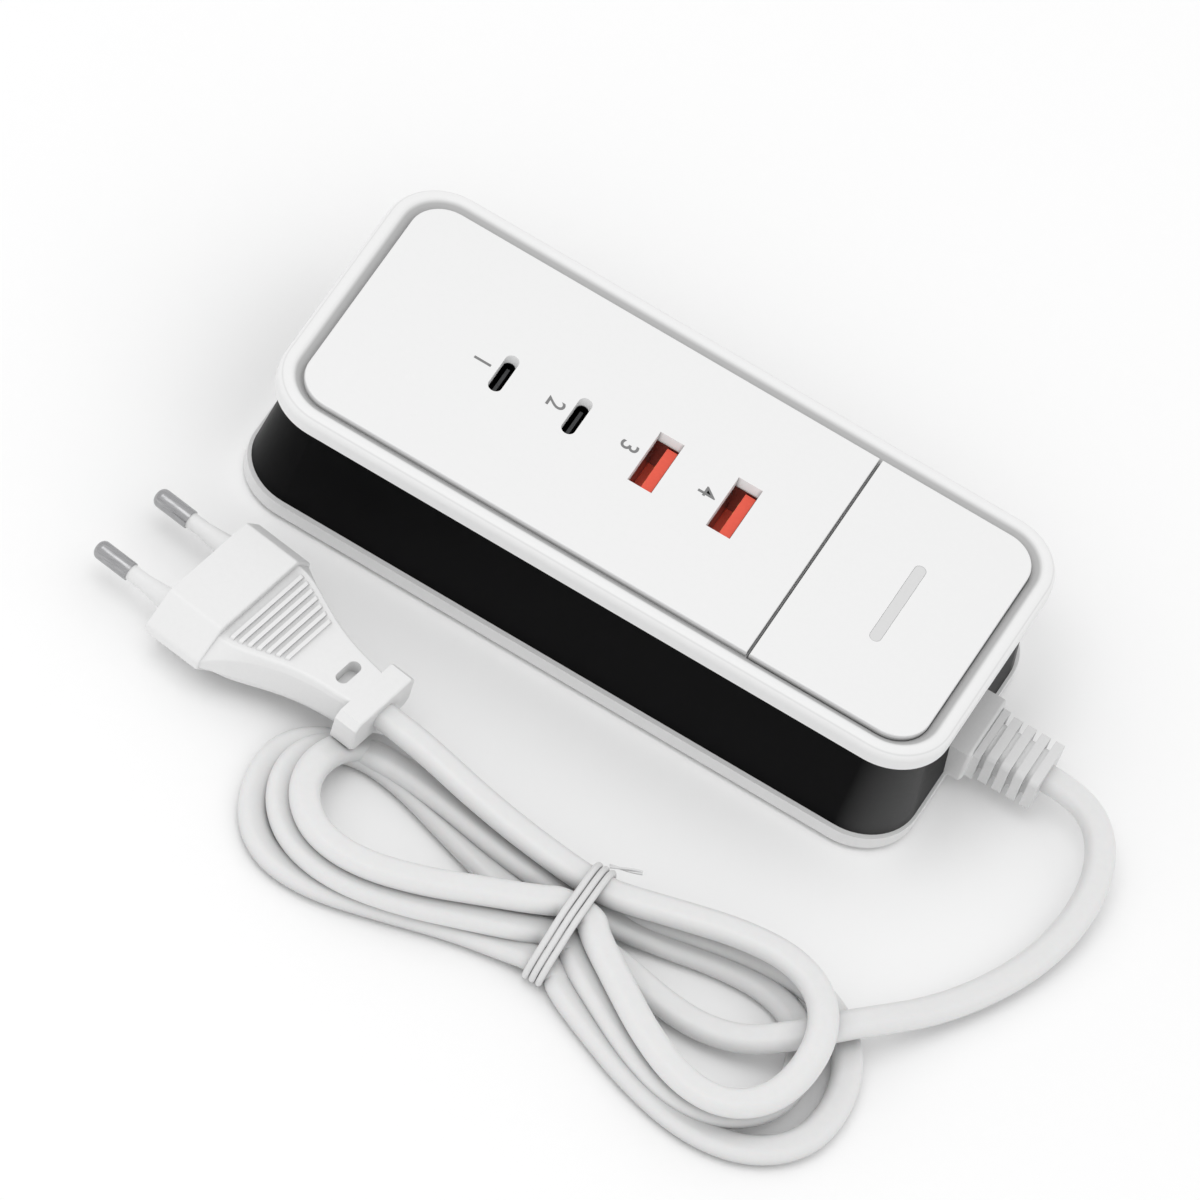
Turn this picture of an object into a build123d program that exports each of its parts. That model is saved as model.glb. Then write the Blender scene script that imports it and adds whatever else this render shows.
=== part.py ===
"""Desktop USB charger: moulded case, four ports, a push plate and a tied mains lead.

Millimetres. +X runs along the case towards the push plate and the cord, +Z is up, and the origin
is on the table under the middle of the case.
"""

from build123d import *
import math
import os

# Case
BODY_LENGTH = 150.0
BODY_WIDTH = 68.4
RIM_RADIUS = 12.6
FOOT_PROUD = 0.6
BASE_HEIGHT = 3.6
BASE_LIP = 0.5
BASE_FLOOR = 2.4
HOUSING_HEIGHT = 23.8
HOUSING_INSET = 0.6
HOUSING_DRAFT = 6.5
HOUSING_WALL = 2.0
FIT = 0.15
LIP_HEIGHT = 2.6
LIP_WALL = 1.5

# Top frame, port panel and push plate
RIM_HEIGHT = 4.3
RIM_WIDTH = 5.0
RIM_OUTER_ROUND = 2.0
RIM_CREST_ROUND = 1.2
GROOVE_WIDTH = 2.5
PANEL_GAP = 0.12
PANEL_DROP = 0.3
PANEL_THICK = 1.6
PANEL_EDGE_ROUND = 0.3
LEDGE = 3.0
COLLAR_HEIGHT = 3.0
COLLAR_WALL = 1.2
BUTTON_SPAN = 42.0
GAP_WIDTH = 0.6
BUTTON_TRAVEL = 1.4
STOP_GAP = 0.1
SKIRT_CLEAR = 0.3
SKIRT_WALL = 1.2
HOOK_GAP = 0.2
HOOK_REACH = 0.7
HOOK_THICK = 1.2
HOOK_LENGTH = 6.0
WINDOW_ROUND = 5.0
LENS_INSET = 23.4
LENS_LENGTH = 22.0
LENS_WIDTH = 2.5
LENS_FIT = 0.05
LENS_FLANGE = 1.0
LENS_FLANGE_THICK = 0.8
LENS_LEG = 2.4

# Ports
PORT_SHIFT = 7.04
USB_C_STEPS = (-26.1, -9.5)
USB_A_STEPS = (8.4, 26.1)
CONNECTOR_HEIGHT = 13.0
SHELL_WALL = 0.3
INSULATOR_HEIGHT = 5.5
INSULATOR_FIT = 0.05
USB_A_SHELL = (5.7, 13.1)
USB_A_CUTOUT = (5.4, 14.4)
USB_A_MOUTH = (5.1, 12.9)
USB_A_TONGUE = (2.3, 12.0)
USB_A_TONGUE_SHIFT = 1.2
USB_A_TONGUE_DROP = 0.4
USB_A_CONTACT = (0.15, 1.0)
USB_A_CONTACT_PITCH = 2.3
USB_A_CONTACT_LENGTH = 6.2
USB_C_SHELL = (3.16, 8.94)
USB_C_CUTOUT = (2.9, 10.2)
USB_C_MOUTH = (2.6, 8.7)
USB_C_TONGUE = (0.7, 6.69)
USB_C_TONGUE_DROP = 0.8

# Boards and what they carry
BOARD_THICK = 1.6
BOARD_END_GAP = 14.0
BOARD_SIDE_GAP = 8.2
BOARD_POST_HEIGHT = 3.0
BOARD_POST_DIAMETER = 6.0
BOARD_POST_INSET = 5.0
PORT_BOARD_MARGIN = 5.6
PORT_BOARD_WIDTH = 19.0
BOSS_DIAMETER = 5.0
BOSS_Y = 6.4
TRANSFORMER = (22.0, 16.0)
TRANSFORMER_GAP = 1.0
WINDING_HEIGHT = 11.0
WINDING_INSET = 2.5
BULK_CAPACITOR = (14.0, 25.0)
BULK_SHARE = 0.078
OUTPUT_CAPACITOR = (8.0, 14.0)
OUTPUT_CAPACITOR_SHARES = (-0.295, -0.213, -0.131)
FILTER_CAPACITOR = (18.0, 8.0, 14.0)
FILTER_SHARE = 0.28
CHOKE = (16.0, 7.0, 8.0)
CHOKE_SHARE = 0.27
RECTIFIER = (15.0, 3.6, 11.0)
RECTIFIER_SHARE = 0.12
FUSE = (7.5, 7.5)
FUSE_SHARE = 0.405
HEAT_SINK = (30.0, 2.0, 15.0)
HEAT_SINK_SHARE = -0.098
HEAT_SINK_FOOT = 7.0
TRANSISTOR = (10.0, 4.5, 14.0)
SWITCH = (10.0, 10.0, 12.0)
SWITCH_OFFSET = 9.6
PLUNGER_DIAMETER = 4.0
PLUNGER_RISE = 5.0
PLUNGER_DEPTH = 3.0
PLUNGER_CLEAR = 0.2
LED_DIAMETER = 5.0
LED_HEIGHT = 5.0
LED_GAP = 0.5
LED_HOLDER_WALL = 0.8
PIN_SIDE = 0.64
PIN_PITCH = 2.54
PIN_COUNT = 6
WIRE_DIAMETER = 2.0
WIRE_SPREAD = 2.4
WIRE_RISE = 1.6
WIRE_BEND = 1.3
WIRE_END_INSET = 4.0

# Screws and feet
SCREW_DIAMETER = 2.8
SCREW_HEAD = (5.0, 1.5)
SCREW_FIT = 0.05
SCREW_BITE = 7.0
CASE_POST_DIAMETER = 7.0
CASE_POST_HEIGHT = 13.0
CASE_POST_WEB = 2.0
CASE_BOSS_DIAMETER = 9.0
CASE_BOSS_RISE = 0.3
CORNER_SHARE = 4.5
FOOT_DIAMETER = 9.6
FOOT_RECESS = 1.2
FOOT_FIT = 0.2
SMALL_SCREW_DIAMETER = 2.2
SMALL_SCREW_HEAD = (4.2, 1.3)
SMALL_SCREW_BITE = 4.0

# Cord entry
CORD_DIAMETER = 6.2
CORD_LEAD_IN = 7.4
ENTRY_BLOCK_PROUD = 3.2
ENTRY_BLOCK = (16.7, 8.3)
ENTRY_STEP = (1.5, 14.2, 7.9)
ENTRY_ROUND = 1.0
ENTRY_NECK = (13.0, 6.8)
ENTRY_FLANGE = (2.4, 16.0, 7.6)
ENTRY_FLANGE_GAP = 0.2
RELIEF_LENGTH = 14.0
RELIEF_RINGS = 4
RELIEF_RING = (2.0, 12.6, 8.6)
RELIEF_RING_ROUND = 1.2
RELIEF_CORE = (9.2, 6.8)
RELIEF_CORE_ROUND = 2.0
RELIEF_PITCH = 3.15

# Plug
PLUG_REACH = 157.87
PLUG_SIDE = -62.59
PLUG_YAW = -10.7
PLUG_TILT = 3.0
PLUG_LIFT = 1.91
PLUG_WIDTH = 35.3
PLUG_THICK = 13.7
PLUG_FLAT = 23.8
PLUG_EDGE = 2.2
PLUG_ROUND = 1.2
PLUG_REAR_ROUND = 0.5
PLUG_BLOCK_LENGTH = 13.0
PLUG_SECTIONS = (
    (0.0, 33.8, 25.2, 2.0, 10.0),
    (5.6, 25.4, 23.0, 5.0, 9.8),
    (12.2, 18.4, 17.2, 6.0, 9.4),
    (20.0, 13.4, 12.4, 5.8, 8.8),
    (27.3, 11.2, 10.2, 5.6, 8.2),
)
PLUG_SECTION_ROUND = 0.8
PLUG_RIB_COUNT = 7
PLUG_RIB_PITCH = 1.75
PLUG_RIB_START = 1.8
PLUG_RIB_THICK = 0.8
PLUG_RIB_RISE = 0.6
PLUG_RIB_TRIM = 1.6
PLUG_SLOT = (2.7, 6.5)
PLUG_SLOT_X = 35.8
PLUG_SLOT_DEPTH = 3.0
PLUG_COLLAR = (5.2, 18.7, 8.2)
PLUG_COLLAR_CORNER = 1.4
PLUG_COLLAR_ROUND = 0.5
PIN_SPACING = 18.6
PIN_DIAMETER = 4.0
PIN_LENGTH = 19.0
SLEEVE_LENGTH = 10.5
SLEEVE_DIAMETER = 3.4
SLEEVE_ROOT = (5.2, 7.0)
PIN_CORE = 2.8
SLEEVE_FIT = 0.03

# Tied hank of cord, placed back from the cord's exit and across from the case's middle
WAIST_BACK = (61.0, -87.0)
WAIST_RADIUS = 14.4
WAIST_LENGTH = 22.0
WAIST_HEIGHT = 13.0
LEFT_BACK = (105.2, -88.2)
LEFT_RADIUS = 25.8
LEFT_OPENING = 6.6
LEFT_TIP_BACK = (80.0, -88.4)
LEFT_HEIGHT = 6.0
RIGHT_BACK = (24.8, -93.2)
RIGHT_RADIUS = 29.4
RIGHT_OPENING = 11.0
RIGHT_TIP_BACK = (46.0, -88.8)
RIGHT_HEIGHT = 12.6
TIP_RADIUS = 1.0
TIE_WIDTH = 4.2
TIE_THICK = 1.2
TIE_CORNER = 4.0
TIE_TAIL_BACK = ((61.0, -72.8, 9.4), (58.6, -70.5, 9.8), (52.5, -68.4, 9.6))
TIE_TAIL_DIAMETER = 1.0

# Levels, from the table up
Z_BASE = FOOT_PROUD
Z_BASE_TOP = Z_BASE + BASE_HEIGHT
Z_FLOOR = Z_BASE + BASE_FLOOR
Z_HOUSING_TOP = Z_BASE_TOP + HOUSING_HEIGHT
Z_RIM = Z_HOUSING_TOP + RIM_HEIGHT
Z_PANEL = Z_RIM - PANEL_DROP
Z_UNDER = Z_PANEL - PANEL_THICK
Z_STOP = Z_UNDER - BUTTON_TRAVEL - STOP_GAP
Z_BOARD = Z_FLOOR + BOARD_POST_HEIGHT
Z_BOARD_TOP = Z_BOARD + BOARD_THICK
Z_PORT_BOARD_TOP = Z_UNDER - CONNECTOR_HEIGHT
Z_PORT_BOARD = Z_PORT_BOARD_TOP - BOARD_THICK
Z_CORD = Z_BASE_TOP + ENTRY_BLOCK[1] / 2

# Places and outlines worked out from those sizes
GAP_X = BODY_LENGTH / 2 - BUTTON_SPAN
LENS_X = BODY_LENGTH / 2 - LENS_INSET
SWITCH_X = GAP_X + SWITCH_OFFSET
ENTRY_BLOCK_END = BODY_LENGTH / 2 + ENTRY_BLOCK_PROUD
RELIEF_END = ENTRY_BLOCK_END + RELIEF_LENGTH
HOUSING_LENGTH = BODY_LENGTH - 2 * HOUSING_INSET
HOUSING_WIDTH = BODY_WIDTH - 2 * (HOUSING_INSET + BASE_LIP)
DRAFT_SLOPE = math.tan(math.radians(HOUSING_DRAFT))
PANEL_INSET = RIM_WIDTH + PANEL_GAP
PANEL_LENGTH = BODY_LENGTH - 2 * PANEL_INSET
PANEL_WIDTH = BODY_WIDTH - 2 * PANEL_INSET
PANEL_RADIUS = RIM_RADIUS - PANEL_INSET
HOUSING_RADIUS = RIM_RADIUS - HOUSING_INSET
PORT_MIDDLE = (GAP_X - PANEL_LENGTH / 2) / 2 + PORT_SHIFT
USB_C_X = [PORT_MIDDLE + step for step in USB_C_STEPS]
USB_A_X = [PORT_MIDDLE + step for step in USB_A_STEPS]
PANEL_END = GAP_X - GAP_WIDTH / 2
BUTTON_START = GAP_X + GAP_WIDTH / 2
WINDOW_LENGTH = BODY_LENGTH - 2 * (RIM_WIDTH + LEDGE)
WINDOW_WIDTH = BODY_WIDTH - 2 * (RIM_WIDTH + LEDGE)
BOARD_LENGTH = BODY_LENGTH - 2 * BOARD_END_GAP
BOARD_WIDTH = BODY_WIDTH - 2 * BOARD_SIDE_GAP
CORNER_X = HOUSING_LENGTH / 2 - HOUSING_RADIUS + CORNER_SHARE / math.sqrt(2)
CORNER_Y = HOUSING_WIDTH / 2 - HOUSING_RADIUS + CORNER_SHARE / math.sqrt(2)
CORNERS = [(sx * CORNER_X, sy * CORNER_Y) for sx in (-1, 1) for sy in (-1, 1)]
BOARD_POSTS = [
    (sx * (BOARD_LENGTH / 2 - BOARD_POST_INSET), sy * (BOARD_WIDTH / 2 - BOARD_POST_INSET))
    for sx in (-1, 1)
    for sy in (-1, 1)
]
BOSSES = [(sum(pair) / 2, sy * BOSS_Y) for pair in (USB_C_X, USB_A_X) for sy in (-1, 1)]
PORT_BOARD_LOW = USB_C_X[0] - PORT_BOARD_MARGIN
PORT_BOARD_HIGH = USB_A_X[-1] + PORT_BOARD_MARGIN
LINK_X = (USB_C_X[1] + USB_A_X[0]) / 2
WAIST = (RELIEF_END - WAIST_BACK[0], WAIST_BACK[1])
LEFT_LOBE = (RELIEF_END - LEFT_BACK[0], LEFT_BACK[1])
LEFT_TIP = (RELIEF_END - LEFT_TIP_BACK[0], LEFT_TIP_BACK[1])
RIGHT_LOBE = (RELIEF_END - RIGHT_BACK[0], RIGHT_BACK[1])
RIGHT_TIP = (RELIEF_END - RIGHT_TIP_BACK[0], RIGHT_TIP_BACK[1])

# The free stretches of the cord, as steps along X from its exit, with Y and Z
LEAD_STEPS = [
    (0.0, 0.0, Z_CORD),
    (CORD_LEAD_IN, 0.0, Z_CORD),
    (14.6, -4.0, 7.4),
    (19.0, -12.2, 5.8),
    (20.0, -24.0, 4.2),
    (17.6, -37.0, 3.2),
    (12.6, -49.2, 3.2),
    (6.2, -60.5, 4.2),
    (-0.6, -70.6, 7.4),
    (-6.2, -78.4, 9.5),
]
TAIL_STEPS = [(-98.6, -74.2, 11.6), (-90.5, -76.1, 11.2), (-81.6, -77.5, 10.5), (-73.0, -78.4, 9.9)]


def from_exit(steps):
    """Points whose X is counted from the cord's exit."""
    return [(RELIEF_END + x, y, z) for x, y, z in steps]


def prism(length, width, radius, z_low, z_high):
    """A rounded rectangle, centred on the origin, between two levels."""
    return extrude(Pos(0, 0, z_low) * RectangleRounded(length, width, radius), z_high - z_low)


def block(x_low, x_high, y_low, y_high, z_low, z_high):
    """A plain box between six planes."""
    middle = Pos((x_low + x_high) / 2, (y_low + y_high) / 2, (z_low + z_high) / 2)
    return middle * Box(x_high - x_low, y_high - y_low, z_high - z_low)


def post(x, y, diameter, z_low, z_high):
    """An upright cylinder between two levels."""
    return Pos(x, y, (z_low + z_high) / 2) * Cylinder(diameter / 2, z_high - z_low)


def flared(inset, z_low, z_high):
    """The housing's flared outline, moved in by inset, between two levels."""
    shrink = inset + (z_low - Z_BASE_TOP) * DRAFT_SLOPE
    outline = RectangleRounded(
        HOUSING_LENGTH - 2 * shrink, HOUSING_WIDTH - 2 * shrink, HOUSING_RADIUS - shrink
    )
    return extrude(Pos(0, 0, z_low) * outline, z_high - z_low, taper=HOUSING_DRAFT)


def group(pieces):
    """Separate solids that share one node."""
    return Compound(children=list(pieces))


def cord_tube(points, name):
    """A round cord along straight runs and tangent arcs, with its radii printed."""
    path_points = [Vector(*p) for p in points]
    radii = []
    for before, here, after in zip(path_points, path_points[1:], path_points[2:]):
        turn = math.radians((here - before).get_angle(after - here))
        shorter = min((here - before).length, (after - here).length)
        radii.append(0.45 * shorter / math.tan(turn / 2))
    path = FilletPolyline(*path_points, radius=radii)
    start = Plane(origin=path @ 0, z_dir=path % 0)
    tube = sweep(start * Circle(CORD_DIAMETER / 2), path=path)
    section = math.pi * CORD_DIAMETER**2 / 4
    print(name, "radii", [round(r, 1) for r in radii], "length", round(path.length, 1))
    print(name, "volume over section times length", round(tube.volume / (section * path.length), 4))
    return tube


def base_tray():
    """Bottom cover: flange, locating lip, board posts and screw bosses, with foot recesses."""
    tray = prism(BODY_LENGTH, BODY_WIDTH, RIM_RADIUS, Z_BASE, Z_BASE_TOP)
    under = tray.faces().sort_by(Axis.Z)[0]
    tray = chamfer(under.outer_wire().edges(), BASE_LIP)
    lip_out = flared(HOUSING_WALL + FIT, Z_BASE_TOP, Z_BASE_TOP + LIP_HEIGHT)
    inside = flared(HOUSING_WALL + FIT + LIP_WALL, Z_FLOOR, Z_BASE_TOP + LIP_HEIGHT)
    tray = tray + lip_out - inside
    half = ENTRY_FLANGE[1] / 2 + FIT
    tray -= block(BODY_LENGTH / 4, BODY_LENGTH, -half, half, Z_BASE_TOP, Z_RIM)
    for x, y in BOARD_POSTS:
        tray += post(x, y, BOARD_POST_DIAMETER, Z_FLOOR, Z_BOARD)
        tray -= post(x, y, SMALL_SCREW_DIAMETER + 2 * SCREW_FIT, Z_BOARD - SMALL_SCREW_BITE, Z_BOARD)
    z_recess = Z_BASE + FOOT_RECESS
    z_seat = z_recess + SCREW_HEAD[1]
    for x, y in CORNERS:
        tray += post(x, y, CASE_BOSS_DIAMETER, Z_FLOOR, Z_BASE_TOP + CASE_BOSS_RISE)
        tray -= post(x, y, FOOT_DIAMETER + 2 * FOOT_FIT, Z_BASE, z_recess)
        tray -= post(x, y, SCREW_HEAD[0] + 2 * FOOT_FIT, z_recess, z_seat)
        tray -= post(x, y, SCREW_DIAMETER + 2 * SCREW_FIT, z_seat, Z_BASE_TOP + CASE_BOSS_RISE)
    return tray


def rubber_feet():
    """Four discs that cover the case screws."""
    feet = []
    for x, y in CORNERS:
        disc = post(x, y, FOOT_DIAMETER, 0, FOOT_RECESS + FOOT_PROUD)
        feet.append(chamfer(disc.edges().group_by(Axis.Z)[0], FOOT_PROUD / 2))
    return group(feet)


def headed_screw(x, y, z_seat, length, diameter, head, way):
    """A pan-head screw whose head bears at z_seat and whose shank points up or down."""
    shank = post(x, y, diameter, min(z_seat, z_seat + way * length), max(z_seat, z_seat + way * length))
    cap = post(x, y, head[0], min(z_seat, z_seat - way * head[1]), max(z_seat, z_seat - way * head[1]))
    return cap + shank


def small_screw(x, y, z_seat, way):
    """A screw through a board into a post or boss."""
    reach = BOARD_THICK + SMALL_SCREW_BITE - 1
    return headed_screw(x, y, z_seat, reach, SMALL_SCREW_DIAMETER, SMALL_SCREW_HEAD, way)


def case_screws():
    """Screws from below into the housing's corner posts."""
    z_seat = Z_BASE + FOOT_RECESS + SCREW_HEAD[1]
    reach = Z_BASE_TOP + CASE_BOSS_RISE - z_seat + SCREW_BITE
    return group(headed_screw(x, y, z_seat, reach, SCREW_DIAMETER, SCREW_HEAD, 1) for x, y in CORNERS)


def mid_housing():
    """Flared black sleeve with corner posts and a notch for the cord entry."""
    z_post = Z_BASE_TOP + CASE_BOSS_RISE
    shell = flared(0, Z_BASE_TOP, Z_HOUSING_TOP) - flared(HOUSING_WALL, Z_BASE_TOP, Z_HOUSING_TOP)
    posts = None
    for x, y in CORNERS:
        top = z_post + CASE_POST_HEIGHT
        web_low = Z_BASE_TOP + LIP_HEIGHT + FIT
        stem = post(x, y, CASE_POST_DIAMETER, z_post, top)
        reach = HOUSING_RADIUS
        web = Pos(x, y, 0) * Rot(0, 0, math.degrees(math.atan2(y / abs(y), x / abs(x))))
        stem += web * block(0, reach, -CASE_POST_WEB / 2, CASE_POST_WEB / 2, web_low, top)
        stem -= post(x, y, SCREW_DIAMETER + 2 * SCREW_FIT, z_post, z_post + SCREW_BITE + 1)
        posts = stem if posts is None else posts + stem
    shell += posts & flared(HOUSING_WALL / 2, Z_BASE_TOP, Z_HOUSING_TOP)
    half = ENTRY_NECK[0] / 2 + FIT
    shell -= block(BODY_LENGTH / 4, BODY_LENGTH, -half, half, Z_BASE_TOP, Z_BASE_TOP + ENTRY_NECK[1] + FIT)
    return shell


def top_frame():
    """Rounded rim with a groove round the panel, ledges, a cross beam and a locating collar."""
    frame = prism(BODY_LENGTH, BODY_WIDTH, RIM_RADIUS, Z_HOUSING_TOP, Z_RIM)
    inner = (BODY_LENGTH - 2 * RIM_WIDTH, BODY_WIDTH - 2 * RIM_WIDTH, RIM_RADIUS - RIM_WIDTH)
    slope = math.degrees(math.atan2(GROOVE_WIDTH, Z_RIM - Z_UNDER))
    frame = fillet(frame.faces().sort_by(Axis.Z)[-1].outer_wire().edges(), RIM_OUTER_ROUND)
    frame -= extrude(Pos(0, 0, Z_UNDER) * RectangleRounded(*inner), Z_RIM - Z_UNDER, taper=-slope)
    frame = fillet(frame.faces().sort_by(Axis.Z)[-1].inner_wires()[0].edges(), RIM_CREST_ROUND)
    ports = RectangleRounded(WINDOW_LENGTH, WINDOW_WIDTH, WINDOW_ROUND)
    beam_low, beam_high = GAP_X - LEDGE, GAP_X + LEDGE
    left = block(-BODY_LENGTH, beam_low, -BODY_WIDTH, BODY_WIDTH, 0, Z_RIM)
    right = block(beam_high, BODY_LENGTH, -BODY_WIDTH, BODY_WIDTH, 0, Z_RIM)
    window = extrude(Pos(0, 0, Z_HOUSING_TOP) * ports, Z_UNDER - Z_HOUSING_TOP)
    frame -= window & left
    frame -= window & right
    well = prism(*inner, Z_STOP, Z_UNDER)
    frame -= well & block(GAP_X, BODY_LENGTH, -BODY_WIDTH, BODY_WIDTH, 0, Z_RIM)
    z_collar = Z_HOUSING_TOP - COLLAR_HEIGHT
    shrink = HOUSING_WALL + FIT + HOUSING_HEIGHT * DRAFT_SLOPE
    outline = (HOUSING_LENGTH - 2 * shrink, HOUSING_WIDTH - 2 * shrink, HOUSING_RADIUS - shrink)
    hollow = [outline[0] - 2 * COLLAR_WALL, outline[1] - 2 * COLLAR_WALL, outline[2] - COLLAR_WALL]
    collar = prism(*outline, z_collar, Z_HOUSING_TOP) - prism(*hollow, z_collar, Z_HOUSING_TOP)
    return frame + collar


def top_plate(x_low, x_high):
    """The part of the inset top between two planes across the case, with soft upper edges."""
    plate = prism(PANEL_LENGTH, PANEL_WIDTH, PANEL_RADIUS, Z_UNDER, Z_PANEL)
    plate &= block(x_low, x_high, -BODY_WIDTH, BODY_WIDTH, 0, Z_RIM)
    return fillet(plate.faces().sort_by(Axis.Z)[-1].edges(), PANEL_EDGE_ROUND)


def lead_in(x, mouth, outline):
    """A port's cut-out, drawn in from its outline on the panel to the mouth of the port's tube."""
    return loft([Pos(x, 0, Z_UNDER) * mouth, Pos(x, 0, Z_PANEL) * outline], ruled=True)


def port_panel():
    """Inset panel with the port cut-outs and the bosses that hold the port board."""
    panel = top_plate(-BODY_LENGTH, PANEL_END)
    for x in USB_A_X:
        panel -= lead_in(x, Rectangle(*USB_A_MOUTH), Rectangle(*USB_A_CUTOUT))
    for x in USB_C_X:
        mouth = SlotOverall(USB_C_MOUTH[1], USB_C_MOUTH[0], rotation=90)
        panel -= lead_in(x, mouth, SlotOverall(USB_C_CUTOUT[1], USB_C_CUTOUT[0], rotation=90))
    for x, y in BOSSES:
        panel += post(x, y, BOSS_DIAMETER, Z_PORT_BOARD_TOP, Z_UNDER)
        panel -= post(
            x, y, SMALL_SCREW_DIAMETER + 2 * SCREW_FIT, Z_PORT_BOARD_TOP, Z_PORT_BOARD_TOP + SMALL_SCREW_BITE
        )
    return panel


def power_button():
    """Push plate with a guide skirt, snap hooks, a lens slot and a boss over the switch."""
    plate = top_plate(BUTTON_START, BODY_LENGTH)
    x_low, x_high = GAP_X + LEDGE + SKIRT_CLEAR, WINDOW_LENGTH / 2 - SKIRT_CLEAR
    half = WINDOW_WIDTH / 2 - SKIRT_CLEAR
    z_low = Z_HOUSING_TOP - HOOK_GAP - HOOK_THICK
    middle = Pos((x_low + x_high) / 2, 0, z_low)
    outer = middle * RectangleRounded(x_high - x_low, 2 * half, WINDOW_ROUND)
    hollow = middle * RectangleRounded(
        x_high - x_low - 2 * SKIRT_WALL, 2 * (half - SKIRT_WALL), WINDOW_ROUND - SKIRT_WALL
    )
    plate += extrude(outer, Z_UNDER - z_low) - extrude(hollow, Z_UNDER - z_low)
    for y in (-half / 2, half / 2):
        low, high = y - HOOK_LENGTH / 2, y + HOOK_LENGTH / 2
        z_high = Z_HOUSING_TOP - HOOK_GAP
        plate += block(x_low - HOOK_REACH, x_low + SKIRT_WALL / 2, low, high, z_low, z_high)
        plate += block(x_high - SKIRT_WALL / 2, x_high + HOOK_REACH, low, high, z_low, z_high)
    slot = SlotOverall(LENS_LENGTH, LENS_WIDTH, rotation=90)
    plate -= extrude(Pos(LENS_X, 0, Z_UNDER) * slot, PANEL_THICK)
    return plate + post(SWITCH_X, 0, PLUNGER_DIAMETER, Z_BOARD_TOP + SWITCH[2] + PLUNGER_RISE, Z_UNDER)


def indicator_lens():
    """Light bar that fills the slot, with a flange under the plate and a short leg."""
    bar = SlotOverall(LENS_LENGTH - 2 * LENS_FIT, LENS_WIDTH - 2 * LENS_FIT, rotation=90)
    flange = SlotOverall(LENS_LENGTH + 2 * LENS_FLANGE, LENS_WIDTH + 2 * LENS_FLANGE, rotation=90)
    z_low = Z_UNDER - LENS_FLANGE_THICK
    lens = extrude(Pos(LENS_X, 0, Z_UNDER) * bar, PANEL_THICK)
    lens += extrude(Pos(LENS_X, 0, z_low) * flange, LENS_FLANGE_THICK)
    return lens + post(LENS_X, 0, LED_DIAMETER - 1, Z_UNDER - LENS_LEG, z_low)


def usb_a_shell(x):
    """Folded metal tube of one rectangular port."""
    outer = Rectangle(*USB_A_SHELL)
    hollow = Rectangle(*[side - 2 * SHELL_WALL for side in USB_A_SHELL])
    return extrude(Pos(x, 0, Z_PORT_BOARD_TOP) * (outer - hollow), CONNECTOR_HEIGHT)


def usb_a_tongue(x):
    """Coloured insulator of one rectangular port: a block that fills the shell, and its tongue."""
    foot = [side - 2 * (SHELL_WALL + INSULATOR_FIT) for side in USB_A_SHELL]
    z_foot = Z_PORT_BOARD_TOP + INSULATOR_HEIGHT
    insulator = extrude(Pos(x, 0, Z_PORT_BOARD_TOP) * Rectangle(*foot), INSULATOR_HEIGHT)
    tongue = Pos(x + USB_A_TONGUE_SHIFT, 0, z_foot) * Rectangle(*USB_A_TONGUE)
    return insulator + extrude(tongue, Z_UNDER - USB_A_TONGUE_DROP - z_foot)


def usb_a_contacts(x):
    """Four spring strips on the open side of the tongue."""
    face = x + USB_A_TONGUE_SHIFT - USB_A_TONGUE[0] / 2
    z_foot = Z_PORT_BOARD_TOP + INSULATOR_HEIGHT
    strips = []
    for step in (-1.5, -0.5, 0.5, 1.5):
        y = step * USB_A_CONTACT_PITCH
        strips.append(
            block(
                face - USB_A_CONTACT[0], face, y - USB_A_CONTACT[1] / 2, y + USB_A_CONTACT[1] / 2,
                z_foot, z_foot + USB_A_CONTACT_LENGTH,
            )
        )
    return group(strips)


def usb_c_shell(x):
    """Drawn metal tube of one oval port."""
    outer = SlotOverall(USB_C_SHELL[1], USB_C_SHELL[0], rotation=90)
    hollow = SlotOverall(USB_C_SHELL[1] - 2 * SHELL_WALL, USB_C_SHELL[0] - 2 * SHELL_WALL, rotation=90)
    return extrude(Pos(x, 0, Z_PORT_BOARD_TOP) * (outer - hollow), CONNECTOR_HEIGHT)


def usb_c_tongue(x):
    """Insulator of one oval port: a foot that fills the shell, and its thin middle tongue."""
    trim = 2 * (SHELL_WALL + INSULATOR_FIT)
    foot = SlotOverall(USB_C_SHELL[1] - trim, USB_C_SHELL[0] - trim, rotation=90)
    z_foot = Z_PORT_BOARD_TOP + INSULATOR_HEIGHT
    insulator = extrude(Pos(x, 0, Z_PORT_BOARD_TOP) * foot, INSULATOR_HEIGHT)
    tongue = Pos(x, 0, z_foot) * Rectangle(*USB_C_TONGUE)
    return insulator + extrude(tongue, Z_UNDER - USB_C_TONGUE_DROP - z_foot)


def main_board():
    """Power board on the tray's posts."""
    board = prism(BOARD_LENGTH, BOARD_WIDTH, 1.0, Z_BOARD, Z_BOARD_TOP)
    for x, y in BOARD_POSTS:
        board -= post(x, y, SMALL_SCREW_DIAMETER + 2 * SCREW_FIT, Z_BOARD, Z_BOARD_TOP)
    return board


def board_screws():
    """Screws that hold the power board to the tray."""
    return group(small_screw(x, y, Z_BOARD_TOP, -1) for x, y in BOARD_POSTS)


def port_board():
    """Small board that carries the four ports under the panel."""
    half = PORT_BOARD_WIDTH / 2
    board = block(PORT_BOARD_LOW, PORT_BOARD_HIGH, -half, half, Z_PORT_BOARD, Z_PORT_BOARD_TOP)
    for x, y in BOSSES:
        board -= post(x, y, SMALL_SCREW_DIAMETER + 2 * SCREW_FIT, Z_PORT_BOARD, Z_PORT_BOARD_TOP)
    return board


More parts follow.
